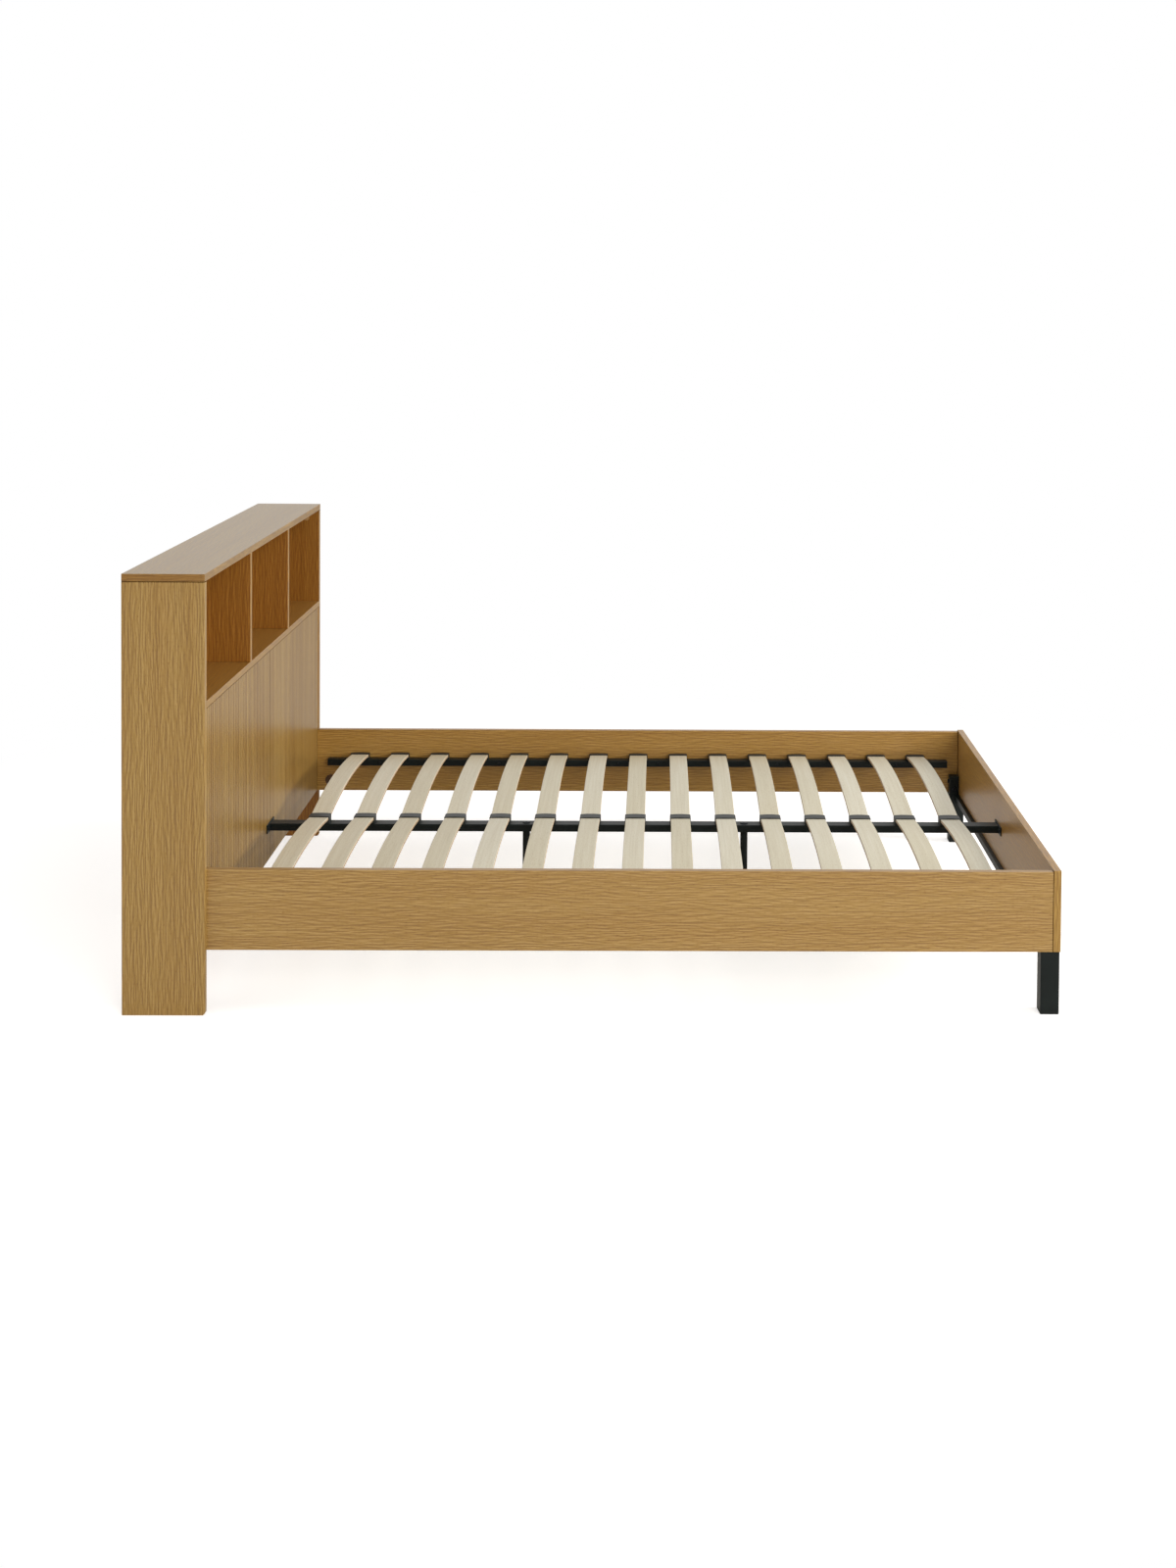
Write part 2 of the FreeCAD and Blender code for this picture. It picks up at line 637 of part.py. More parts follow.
def support_leg(end, way, bolt_bore):
    """Round tube leg with a plug in each end, and the screw foot that stands under it."""
    x = f"({INNER_MIDDLE} + {way} * {SUPPORT_OFFSET})"
    skin = rod(f"{end}_support_skin", "support_diameter", f"{SPINE_UNDERSIDE} - {SUPPORT_BASE}",
               x, 0, SUPPORT_BASE)
    hollow = rod(f"{end}_support_hollow", "support_diameter - 2 * support_wall",
                 f"{SPINE_UNDERSIDE} - {SUPPORT_BASE} - 2 * support_plug",
                 x, 0, f"({SUPPORT_BASE} + support_plug)")
    stem_bore = rod(f"{end}_stem_bore", "stem_diameter + stem_fit", "2 * support_plug", x, 0,
                    SUPPORT_BASE)
    plug_bore = rod(f"{end}_plug_bore", "support_bolt_diameter + bore_fit", "2 * support_plug",
                    x, 0, SPINE_UNDERSIDE, "-Z")
    node(cut(f"{end}_support", skin, [hollow, stem_bore, plug_bore]), f"support_leg_{end}")
    disc = rod(f"{end}_foot_disc", "foot_diameter", "foot_height", x, 0, 0)
    stem = rod(f"{end}_foot_stem", "stem_diameter", "foot_height + stem_length", x, 0, 0)
    node(fuse(f"{end}_foot", [disc, stem]), f"screw_foot_{end}")


def slat_band(name, side, fit):
    """Curved band, as thick as a slat plus its fit, that runs the length of the bed."""
    centre = f"({side} * {SLAT_MIDDLE})"
    outer = rod(f"{name}_top_curve", f"2 * ({SLAT_RADIUS} + slat_thickness + {fit})",
                INNER_LENGTH, PANEL_FACE, centre, SLAT_AXIS, "X")
    inner = rod(f"{name}_under_curve", f"2 * ({SLAT_RADIUS} - {fit})",
                INNER_LENGTH, PANEL_FACE, centre, SLAT_AXIS, "X")
    return cut(f"{name}_band", outer, [inner])


def slats(name, side):
    """Sprung slats of one side of the bed, each sawn out of the curved band."""
    band = slat_band(f"{name}_slat", side, 0)
    for row in rows():
        saw = block(f"{name}_slat_saw_{row:02d}", (f"({row_place(row)} - slat_width / 2)", "slat_width"),
                    sideways(side, "slat_middle_gap", SLAT_CHORD),
                    (f"({SLAT_SEAT} - slat_thickness)", "slat_camber + 3 * slat_thickness"))
        node(common(f"{name}_slat_{row:02d}", band, saw), f"slat_{name}_{row:02d}")


def pocket(name, side, y):
    """The room for one slat's end inside the first row's cap."""
    band = slat_band(f"{name}_pocket", side, "slat_fit")
    room = block(f"{name}_pocket_room",
                 (f"({row_place(1)} - slat_width / 2 - slat_fit)", "slat_width + 2 * slat_fit"),
                 sideways(side, *y), (f"({SLAT_SEAT} - slat_thickness)", "4 * slat_thickness"))
    return common(f"{name}_pocket", band, room)


def cap(name, y, seat, peg_place, pockets):
    """First row's plastic cap: crowned block on a peg, less the room for its slats."""
    x = row_place(1)
    shell = block(f"{name}_shell", (f"({x} - cap_width / 2)", "cap_width"), y,
                  (seat, f"{CAP_TOP} - {seat}"))
    crown = rod(f"{name}_crown", f"2 * {CROWN_RADIUS}", y[1], x, y[0],
                f"({CAP_TOP} - {CROWN_RADIUS})", "Y")
    peg = rod(f"{name}_peg", "peg_diameter", "peg_length + cap_roof", x, peg_place,
              f"({seat} - peg_length)")
    solid = fuse(f"{name}_solid", [common(f"{name}_crowned", shell, crown), peg])
    return cut(f"{name}_first", solid, pockets)


def cap_row(name, first):
    """The first cap repeated at every row, as one group."""
    copies = []
    for row in rows():
        copy = doc.addObject("App::Link", f"{name}_{row:02d}")
        copy.LinkedObject = first
        copies.append(place(copy, f"{ROW_PITCH} * {row - 1}"))
    node(group(f"{name}_row", copies), name)


def caps():
    """Single caps on both bearers, and double caps on the spine."""
    outer_room = (f"{SLAT_OUT} - 2 * cap_cover", "2 * cap_cover + slat_fit")
    inner_room = ("slat_middle_gap - slat_fit", "2 * cap_cover")
    for name, side in SIDES.items():
        y = sideways(side, f"{SLAT_OUT} - cap_cover", "cap_cover + slat_fit + cap_wall")
        pockets = [pocket(f"{name}_side", side, outer_room)]
        cap_row(f"slat_caps_{name}",
                cap(f"{name}_cap", y, BEARER_TOP, side_cap_middle(side), pockets))
    half = "(slat_middle_gap + cap_cover)"
    pockets = [pocket(f"{name}_inner", side, inner_room) for name, side in SIDES.items()]
    cap_row("slat_caps_centre",
            cap("centre_cap", (f"-{half}", f"2 * {half}"), SPINE_TOP, 0, pockets))


# ---------------------------------------------------------------- the whole bed

def bed():
    """Model every piece; bores that several pieces share are made once."""
    carcass()
    bookcase_inside()
    plates = plate_screws()
    supports = {end: support_bolt(end, way) for end, way in ENDS.items()}
    screws = [piece for piece, bore in plates.values()]
    bolts = [piece for piece, bore in supports.values()]
    connectors = []
    corner_bores = {}
    footboard_bores = [plates["foot", name][1] for name in SIDES]
    for name, side in SIDES.items():
        pieces, housing_bore, bolt_bore = rail_connector(name, side)
        connectors += pieces
        corner, rail_bore, foot_bore = corner_bolts(name, side)
        bolts += corner
        corner_bores[name] = [rail_bore, foot_bore]
        footboard_bores.append(foot_bore)
        bearer = bearer_screws(name, side)
        screws += [piece for piece, bore in bearer]
        bearer_bores = [bore for piece, bore in bearer]
        fluted_panel(name, side, [bolt_bore, plates["head", name][1]])
        side_rail(name, side, [housing_bore, bolt_bore, rail_bore] + bearer_bores)
        side_bearer(name, side, bearer_bores)
        slats(name, side)
    footboard(footboard_bores)
    foot_end(corner_bores)
    spine([bore for piece, bore in plates.values()], [bore for piece, bore in supports.values()])
    for end, way in ENDS.items():
        support_leg(end, way, supports[end][1])
    caps()
    node(group("connectors", connectors), "rail_connectors")
    node(group("bolts", bolts), "frame_bolts")
    node(group("screws", screws), "wood_screws")


def check():
    """Stop unless every object was made and every sub-part is a sound solid."""
    for item in doc.Objects:
        if "Invalid" in item.State or "Error" in item.State:
            raise RuntimeError(f"{item.Label}: {item.State}")
    for item in nodes:
        if item.Shape.isNull() or not item.Shape.isValid() or not item.Shape.Solids:
            raise RuntimeError(f"{item.Label} is not a sound solid")


def export():
    os.makedirs("parts", exist_ok=True)
    for item in nodes:
        item.Shape.exportStep(f"parts/{item.Label}.step")


bed()
doc.recompute()
check()
export()
print(f"{len(nodes)} sub-parts")
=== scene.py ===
"""Looks of the bookcase headboard bed: finishes, slats, caps, steel, fasteners, light and camera."""

import math

import bmesh
import bpy
from mathutils import Matrix, Vector


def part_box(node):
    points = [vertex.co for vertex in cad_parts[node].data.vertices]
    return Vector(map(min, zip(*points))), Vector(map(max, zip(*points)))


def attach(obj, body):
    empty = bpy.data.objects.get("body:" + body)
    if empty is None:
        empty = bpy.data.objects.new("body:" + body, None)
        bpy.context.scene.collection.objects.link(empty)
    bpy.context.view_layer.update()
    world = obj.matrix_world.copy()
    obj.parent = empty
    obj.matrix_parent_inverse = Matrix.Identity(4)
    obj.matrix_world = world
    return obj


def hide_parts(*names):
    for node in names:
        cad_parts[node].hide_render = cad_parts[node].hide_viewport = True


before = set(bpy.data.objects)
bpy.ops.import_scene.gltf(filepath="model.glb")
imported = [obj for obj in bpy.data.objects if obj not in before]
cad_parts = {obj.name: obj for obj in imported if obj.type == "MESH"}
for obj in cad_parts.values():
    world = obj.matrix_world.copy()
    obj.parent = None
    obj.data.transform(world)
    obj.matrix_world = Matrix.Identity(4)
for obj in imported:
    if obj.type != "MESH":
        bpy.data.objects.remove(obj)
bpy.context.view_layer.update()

MM = 0.001
BED = "bed_frame"
SIDES = {"left": -1, "right": 1}
ENDS = ("head", "foot")
SLAT_ROWS = range(1, 16)
SEED = 7

# Sizes that the frame gives, in metres.
RAIL_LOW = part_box("side_rail_right")[0]
FOOT_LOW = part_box("footboard")[0]
TOP_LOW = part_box("headboard_top")[0]
SHELF_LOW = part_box("headboard_shelf")[0]
STEEL_LOW, STEEL_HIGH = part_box("foot_frame")
SPINE_LOW, SPINE_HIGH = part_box("centre_rail")
PLUG_LOW, PLUG_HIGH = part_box("leg_plugs")
SLAT_LOW, SLAT_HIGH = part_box("slat_right_01")
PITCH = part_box("slat_right_02")[0].x - SLAT_LOW.x
SLAT_LENGTH = SLAT_HIGH.y - SLAT_LOW.y
SLAT_WIDTH = SLAT_HIGH.x - SLAT_LOW.x

# Slats and caps, in metres, as all lengths here.
SLAT_THICKNESS = 8 * MM
SLAT_ROUNDING = 1.5 * MM
CAP_EDGE = 0.6 * MM

# Foot frame, centre rail and bearers, with their welds.
LEG_SIZE = 45 * MM
LEG_TOP = RAIL_LOW.z
CROSSBAR = 20 * MM
CROSSBAR_SETBACK = 6.5 * MM
POST = 30 * MM
STEEL_CORNER = 3 * MM
TUBE_CORNER = 2 * MM
TUBE_WALL = 1.5 * MM
SPINE_HALF = 20 * MM
SPINE_TUBE = 20 * MM
END_PLATE = 3 * MM
EDGE_BREAK = 0.4 * MM
WELD_RADIUS = 1.6 * MM
WELD_STEP = 2 * MM

# Plugs of the legs, and the screw feet's stems with their threads.
PLUG_FLANGE = 3 * MM
PLUG_RIM = 3 * MM
PLUG_COLLAR = 4 * MM
PLUG_GROOVE = 1 * MM
STEM_START = 6 * MM
STEM_CORE = 3.4 * MM
STEM_TIP = 1 * MM
THREAD_START = 8.5 * MM
THREAD_RUNOUT = 2.5 * MM
THREAD_PITCH = 1.25 * MM
THREAD_DEPTH = 0.55 * MM

# Diameters that tell the round fittings apart in their CAD nodes.
WOOD_SCREW_HEAD = 8 * MM
SUPPORT_BOLT_HEAD = 22 * MM
CORNER_BOLT_HEAD = 12 * MM
CONNECTOR = 35 * MM
CAM = 15 * MM

# Oak foil: how far a joint's shade reaches to each side, how wide the growth lines' wander is at most,
# and how far a strand's dark flank lies from its light one.
JOINT_SHADE = 1.8 * MM
GRAIN_WANDER = 12 * MM
STRAND_FLANK = 3.4 * MM

# How close two measures lie to count as the same, in metres.
SAME_POINT = 0.01 * MM
SAME_PLANE = 0.1 * MM
SAME_DIAMETER = 0.5 * MM

# Edges: below the first angle they are flat, and up to the second they are shaded softly. The caps'
# edges from the third angle on are rounded, unless they are short.
FLAT_ANGLE = math.radians(1)
SOFT_ANGLE = math.radians(35)
SHARP_ANGLE = math.radians(50)
SHORT_EDGE = 6 * MM

# A face looks along an axis where more than the first share of its normal lies along it. On a groove's
# wall less than the second lies square to the panel, and less than the third along the groove.
SQUARE_ON = 0.6
OFF_PANEL = 0.9
OFF_GROOVE = 0.3

# Studio: how far the floor reaches and where it fades into the backdrop, in metres, the share of white
# that the floor gives of its own, and the lamps' colour.
FLOOR_REACH = 30
FADE_START = 1.6
FADE_END = 2.8
FLOOR_GLOW = 0.57
LAMPLIGHT = "#fffaf3"

# Camera of the photograph, whose frame is 1200 x 1600 pixels.
FRAME_WIDTH = 1200
FRAME_HEIGHT = 1600
CAMERA_PLACE = Vector((0.14582, -5.09504, 1.70217))
CAMERA_RIGHT = Vector((0.999859, -0.014835, 0.007857))
CAMERA_UP = Vector((-0.007397, 0.030826, 0.999497))
FOCAL_PIXELS = 1899.2
OPTICAL_CENTRE = (702.0, 361.5)
SENSOR = 36


# ---------------------------------------------------------------- node helpers

def add(tree, kind, feeds=None, stops=(), **settings):
    """Add one node.

    settings are its properties, feeds its inputs' values or the nodes and sockets that feed them,
    and stops a ramp's places and colours.
    """
    made = tree.nodes.new(kind)
    for name, value in settings.items():
        setattr(made, name, value)
    for name, value in (feeds or {}).items():
        if isinstance(value, bpy.types.Node):
            value = value.outputs[0]
        if isinstance(value, bpy.types.NodeSocket):
            tree.links.new(value, made.inputs[name])
        else:
            made.inputs[name].default_value = value
    for index, (place, colour) in enumerate(stops):
        elements = made.color_ramp.elements
        element = elements[index] if index < len(elements) else elements.new(place)
        element.position = place
        element.color = srgb(colour)
    return made


def srgb(code):
    """Linear colour of an sRGB hex value."""
    channels = [int(code[i:i + 2], 16) / 255 for i in (1, 3, 5)]
    linear = [c / 12.92 if c <= 0.04045 else ((c + 0.055) / 1.055) ** 2.4 for c in channels]
    return (*linear, 1.0)


def new_material(name):
    """Empty material: the material, its tree and its output node."""
    made = bpy.data.materials.new(name)
    made.use_nodes = True
    made.node_tree.nodes.clear()
    return made, made.node_tree, add(made.node_tree, "ShaderNodeOutputMaterial")


def drawn_noise(tree, where, along_mm, across_mm, detail=2.0, roughness=0.5):
    """Noise with features this long along the first axis of where and this wide across it."""
    scaled = add(tree, "ShaderNodeVectorMath",
                 {0: where, 1: (1 / (along_mm * MM), 1 / (across_mm * MM), 1 / (across_mm * MM))},
                 operation="MULTIPLY")
    return add(tree, "ShaderNodeTexNoise", {"Vector": scaled, "Scale": 1.0, "Detail": detail,
                                            "Roughness": roughness})


# ---------------------------------------------------------------- wood

def oak_print(tree, way, grooved):
    """The foil's print, with its grain along the first axis of way: its colour, its lines and its pores."""
    # growth lines wander a few millimetres across the grain
    wander = add(tree, "ShaderNodeMath", {0: drawn_noise(tree, way, 260, 50), 1: 0.5},
                 operation="SUBTRACT")
    push = add(tree, "ShaderNodeMath", {0: wander, 1: GRAIN_WANDER}, operation="MULTIPLY")
    bent = add(tree, "ShaderNodeVectorMath", {0: way, 1: add(tree, "ShaderNodeCombineXYZ", {1: push})})
    # short strands, each with a light and a dark flank, over long faint lines
    beside = add(tree, "ShaderNodeVectorMath", {0: bent, 1: (0.0, STRAND_FLANK, 0.0)})
    strands = add(tree, "ShaderNodeMath", {0: drawn_noise(tree, bent, 40, 2.8, 0.0),
                                           1: drawn_noise(tree, beside, 40, 2.8, 0.0)}, operation="SUBTRACT")
    long_lines = add(tree, "ShaderNodeMath", {0: drawn_noise(tree, bent, 600, 3.0, 0.0), 1: 0.4, 2: 0.3},
                     operation="MULTIPLY_ADD")
    lines = add(tree, "ShaderNodeMath", {0: strands, 1: 0.7, 2: long_lines}, operation="MULTIPLY_ADD")
    tint = add(tree, "ShaderNodeValToRGB", {0: lines},
               stops=((0.28, FOIL["line"]), (0.50, FOIL["ground"]), (0.72, FOIL["light"])))
    broad = add(tree, "ShaderNodeValToRGB", {0: drawn_noise(tree, bent, 900, 35 if grooved else 60)},
                stops=((0.38, "#e2d8c8" if grooved else "#f8f4ee"), (0.62, "#ffffff")))
    # pores are drawn wider than real ones, so that they show
    pores = drawn_noise(tree, bent, 10, 1.0, 0.0)
    pits = add(tree, "ShaderNodeValToRGB", {0: pores}, stops=((0.28, "#ccb69a"), (0.38, "#ffffff")))
    colour = add(tree, "ShaderNodeMix", {0: 1.0, 6: tint, 7: broad}, data_type="RGBA",
                 blend_type="MULTIPLY").outputs[2]
    printed = add(tree, "ShaderNodeMix", {0: 0.5, 6: colour, 7: pits}, data_type="RGBA",
                  blend_type="MULTIPLY").outputs[2]
    return printed, lines, pores


def oak_foil(name, grain, face, tone="#ffffff", band_tone="#fffaf6", end_tone="#ffffff", grooved=False,
             joint=None, shaded_side=0, raw_rear=False):
    """Oak-effect foil on particle board: a satin print with short straight grain and fine pores.

    grain and face are the axes along the grain and square to the broad faces. The narrow sides carry
    edge bands with the same print, run along each side. tone dims the broad faces, band_tone the bands,
    end_tone those across the grain once more, and the grooves' walls are darkened with painted shade.
    joint is the axis and place of the joint with the next board, drawn as a dark line of painted shade,
    shaded_side the broad face that looks into the shelves, which gets painted shade, and raw_rear leaves
    the lower broad face bare.
    """
    made, tree, out = new_material(name)
    where = add(tree, "ShaderNodeSeparateXYZ", {0: add(tree, "ShaderNodeTexCoord").outputs["Object"]})
    facing = add(tree, "ShaderNodeSeparateXYZ", {0: add(tree, "ShaderNodeNewGeometry").outputs["Normal"]})
    across = next(axis for axis in "XYZ" if axis not in (grain, face))
    board_way = add(tree, "ShaderNodeCombineXYZ", {0: where.outputs[grain], 1: where.outputs[across],
                                                   2: where.outputs[face]})
    end_way = add(tree, "ShaderNodeCombineXYZ", {0: where.outputs[across], 1: where.outputs[face],
                                                 2: where.outputs[grain]})
    # bands across the grain carry the print along their own length
    to_end = add(tree, "ShaderNodeMath", {0: facing.outputs[grain]}, operation="ABSOLUTE")
    at_end = add(tree, "ShaderNodeMath", {0: to_end, 1: SQUARE_ON}, operation="GREATER_THAN")
    way = add(tree, "ShaderNodeMix", {0: at_end, 4: board_way, 5: end_way}, data_type="VECTOR").outputs[1]
    printed, lines, pores = oak_print(tree, way, grooved)
    colour = add(tree, "ShaderNodeMix", {0: 1.0, 6: printed, 7: srgb(tone)}, data_type="RGBA",
                 blend_type="MULTIPLY").outputs[2]

    flat = add(tree, "ShaderNodeMath", {0: facing.outputs[face]}, operation="ABSOLUTE")
    if grooved:
        # painted shade: the sloping walls of a groove are darker than the face
        sloping = add(tree, "ShaderNodeMath", {0: flat, 1: OFF_PANEL}, operation="LESS_THAN")
        upright = add(tree, "ShaderNodeMath", {0: facing.outputs[grain]}, operation="ABSOLUTE")
        walls = add(tree, "ShaderNodeMath", {0: upright, 1: OFF_GROOVE}, operation="LESS_THAN")
        on_wall = add(tree, "ShaderNodeMath", {0: sloping, 1: walls}, operation="MULTIPLY")
        dark = add(tree, "ShaderNodeMix", {0: 1.0, 6: colour, 7: srgb(FOIL["groove"])},
                   data_type="RGBA", blend_type="MULTIPLY").outputs[2]
        colour = add(tree, "ShaderNodeMix", {0: on_wall, 6: colour, 7: dark}, data_type="RGBA").outputs[2]
    else:
        on_band = add(tree, "ShaderNodeMath", {0: flat, 1: SQUARE_ON}, operation="LESS_THAN")
        band = add(tree, "ShaderNodeMix", {0: 1.0, 6: printed, 7: srgb(band_tone)}, data_type="RGBA",
                   blend_type="MULTIPLY").outputs[2]
        end = add(tree, "ShaderNodeMix", {0: at_end, 6: band, 7: srgb(end_tone)}, data_type="RGBA",
                  blend_type="MULTIPLY").outputs[2]
        colour = add(tree, "ShaderNodeMix", {0: on_band, 6: colour, 7: end}, data_type="RGBA").outputs[2]
    sheen = {"Roughness": add(tree, "ShaderNodeMapRange", {0: lines, 3: 0.28, 4: 0.36})}
    if shaded_side:
        # painted shade: faces that look into the shelves are dimmed and warmed, standing in for their shade
        # and the warm light bounced from the boards round them
        inward = add(tree, "ShaderNodeMath", {0: facing.outputs[face], 1: shaded_side}, operation="MULTIPLY")
        inside = add(tree, "ShaderNodeMath", {0: inward, 1: SQUARE_ON}, operation="GREATER_THAN")
        colour = add(tree, "ShaderNodeMix", {0: inside, 6: colour, 7: srgb(FOIL["shelf"])},
                     data_type="RGBA", blend_type="MULTIPLY").outputs[2]
    if joint:
        # painted shade: a dark line along the joint with the next board
        apart = add(tree, "ShaderNodeMath", {0: where.outputs[joint[0]], 1: joint[1]}, operation="SUBTRACT")
        gap = add(tree, "ShaderNodeMath", {0: apart}, operation="ABSOLUTE")
        near = add(tree, "ShaderNodeMath", {0: gap, 1: JOINT_SHADE}, operation="LESS_THAN")
        colour = add(tree, "ShaderNodeMix", {0: near, 6: colour, 7: srgb(FOIL["joint"])},
                     data_type="RGBA", blend_type="MULTIPLY").outputs[2]
        # an open joint swallows the sheen too
        sheen["Specular IOR Level"] = add(tree, "ShaderNodeMapRange", {0: near, 3: 0.5, 4: 0.0})
    if raw_rear:
        # short felted fibres of raw hardboard
        bare = add(tree, "ShaderNodeMath", {0: facing.outputs[face], 1: -SQUARE_ON}, operation="LESS_THAN")
        felt = add(tree, "ShaderNodeValToRGB", {0: drawn_noise(tree, way, 3, 1.2, 4.0, 0.7)},
                   stops=((0.3, "#8a6a48"), (0.7, "#9d7b56")))
        colour = add(tree, "ShaderNodeMix", {0: bare, 6: colour, 7: felt}, data_type="RGBA").outputs[2]
    emboss = add(tree, "ShaderNodeBump", {"Strength": 0.2, "Distance": 0.08 * MM, "Height": pores})
    shader = add(tree, "ShaderNodeBsdfPrincipled",
                 {"Base Color": colour, "IOR": 1.5, "Normal": emboss, **sheen})
    tree.links.new(shader.outputs[0], out.inputs["Surface"])
    return made


def birch_ply():
    """Birch veneers of the slats: cream faces, and pinkish glue lines on the long edges.

    The attribute layer runs from -0.5 to 0.5 through a slat's thickness, and tone differs by slat.
    """
    made, tree, out = new_material("birch_plywood")
    where = add(tree, "ShaderNodeSeparateXYZ", {0: add(tree, "ShaderNodeTexCoord").outputs["Object"]})
    layer = add(tree, "ShaderNodeAttribute", attribute_name="layer").outputs["Fac"]
    tone = add(tree, "ShaderNodeAttribute", attribute_name="tone").outputs["Fac"]
    apart = add(tree, "ShaderNodeMath", {0: tone, 1: 3.0}, operation="MULTIPLY")
    way = add(tree, "ShaderNodeCombineXYZ", {0: where.outputs["Y"], 1: where.outputs["X"], 2: apart})
    figure = add(tree, "ShaderNodeValToRGB", {0: drawn_noise(tree, way, 300, 7, 3.0, 0.6)},
                 stops=((0.32, "#ddd7c2"), (0.52, "#e3deca"), (0.72, "#e8e4d3")))
    flecks = add(tree, "ShaderNodeValToRGB", {0: drawn_noise(tree, way, 12, 1.0)},
                 stops=((0.30, "#dccfb9"), (0.42, "#ffffff")))
    colour = add(tree, "ShaderNodeMix", {0: 0.6, 6: figure, 7: flecks}, data_type="RGBA",
                 blend_type="MULTIPLY").outputs[2]
    shade = add(tree, "ShaderNodeValToRGB", {0: tone}, stops=((0.0, "#f3f0e8"), (1.0, "#ffffff")))
    colour = add(tree, "ShaderNodeMix", {0: 1.0, 6: colour, 7: shade}, data_type="RGBA",
                 blend_type="MULTIPLY").outputs[2]
    # five plies: the second and fourth show end grain
    depth = add(tree, "ShaderNodeMath", {0: layer, 1: 0.5})
    plies = add(tree, "ShaderNodeValToRGB", {0: depth},
                stops=((0.06, "#ffffff"), (0.20, "#f0d9c4"), (0.23, "#b98d6d"), (0.40, "#c8a184"),
                       (0.43, "#f0d9c4"), (0.60, "#f0d9c4"), (0.63, "#b98d6d"), (0.80, "#c8a184"),
                       (0.83, "#f0d9c4"), (0.94, "#ffffff")))
    colour = add(tree, "ShaderNodeMix", {0: 0.8, 6: colour, 7: plies}, data_type="RGBA",
                 blend_type="MULTIPLY").outputs[2]
    shader = add(tree, "ShaderNodeBsdfPrincipled", {"Base Color": colour, "Roughness": 0.5, "IOR": 1.5})
    tree.links.new(shader.outputs[0], out.inputs["Surface"])
    return made


# ---------------------------------------------------------------- steel and plastic

def grainy(name, dark, light, size_mm, depth_mm, roughness, metallic=0.0, shine=0.5):
    """Even finish with a fine skin: a colour that shifts slightly, and a bump of this size and depth.

    The real skins of plastic and plating are finer, and drawn as coarse as they need to show.
    """
    made, tree, out = new_material(name)
    where = add(tree, "ShaderNodeTexCoord").outputs["Object"]
    skin = drawn_noise(tree, where, size_mm, size_mm, 2.0)
    patches = add(tree, "ShaderNodeValToRGB", {0: drawn_noise(tree, where, 60, 60, 3.0)},
                  stops=((0.35, dark), (0.65, light)))
    relief = add(tree, "ShaderNodeBump", {"Strength": 0.5, "Distance": depth_mm * MM, "Height": skin})
    shader = add(tree, "ShaderNodeBsdfPrincipled", {"Base Color": patches, "Roughness": roughness,
                                                    "Metallic": metallic, "Specular IOR Level": shine,
                                                    "Normal": relief})
    tree.links.new(shader.outputs[0], out.inputs["Surface"])
    return made


# ---------------------------------------------------------------- mesh helpers

def rectangle(low, high, corner, steps=4):
    """Rectangle with rounded corners between two opposite corners, as points in its plane."""
    centres = ((high[0] - corner, high[1] - corner), (low[0] + corner, high[1] - corner),
               (low[0] + corner, low[1] + corner), (high[0] - corner, low[1] + corner))
    points = []
    for quarter, (u, v) in enumerate(centres):
        for step in range(steps + 1):
            angle = math.radians(90 * (quarter + step / steps))
            points.append((u + corner * math.cos(angle), v + corner * math.sin(angle)))
    return points


def loft(mesh, rings, closed=False):
    """Skin rings of points; the ends are filled unless the rings close on themselves."""
    made = [[mesh.verts.new(point) for point in ring] for ring in rings]
    pairs = list(zip(made, made[1:]))
    if closed:
        pairs.append((made[-1], made[0]))
    for one, other in pairs:
        for i, vertex in enumerate(one):
            j = (i + 1) % len(one)
            mesh.faces.new((vertex, one[j], other[j], other[i]))
    if not closed:
        mesh.faces.new(made[0])
        mesh.faces.new(made[-1])


def bar(mesh, axis, low, high, corner, wall=0):
    """Bar with rounded corners along an axis between two corners of its box, a tube if it has a wall."""
    along = "XYZ".index(axis)
    plane = ((along + 1) % 3, (along + 2) % 3)

    def ring(inset, place):
        flat = rectangle([low[i] + inset for i in plane], [high[i] - inset for i in plane],
                         max(corner - inset, EDGE_BREAK / 2))
        points = []
        for u, v in flat:
            point = Vector((0, 0, 0))
            point[along], point[plane[0]], point[plane[1]] = place, u, v
            points.append(point)
        return points

    start, end = low[along], high[along]
    rings = [ring(EDGE_BREAK, start), ring(0, start + EDGE_BREAK),
             ring(0, end - EDGE_BREAK), ring(EDGE_BREAK, end)]
    if wall:
        rings += [ring(wall, end), ring(wall, start)]
    loft(mesh, rings, closed=bool(wall))


def turned(mesh, steps, place=(0, 0, 0), sides=32):
    """Form turned about Z: steps are (radius, height) pairs, where a radius may be a rule by angle."""
    rings = []
    for radius, height in steps:
        ring = []
        for i in range(sides):
            angle = 2 * math.pi * i / sides
            reach = radius(angle) if callable(radius) else radius
            ring.append(Vector(place) + Vector((reach * math.cos(angle), reach * math.sin(angle), height)))
        rings.append(ring)
    loft(mesh, rings)


def hexagon(reach):
    """Rule for a hexagon with this distance from its middle to its corners."""
    def rule(angle):
        return reach * math.cos(math.pi / 6) / math.cos(angle % (math.pi / 3) - math.pi / 6)
    return rule


def cross(reach, half_width):
    """Rule for a cross with arms this long and this wide to each side."""
    def rule(angle):
        near = min(abs(math.sin(angle)), abs(math.cos(angle)))
        return min(reach, half_width / max(near, 0.001))
    return rule


def scaled(steps):
    """Steps given in millimetres, in metres."""
    def metres(radius):
        if callable(radius):
            return lambda angle: radius(angle) * MM
        return radius * MM
    return [(metres(radius), height * MM) for radius, height in steps]


def from_bmesh(name, build):
    """Plain mesh made by a function that fills a bmesh."""
    made = bpy.data.meshes.new(name)
    mesh = bmesh.new()
    build(mesh)
    bmesh.ops.recalc_face_normals(mesh, faces=mesh.faces)
    mesh.to_mesh(made)
    mesh.free()
    return made


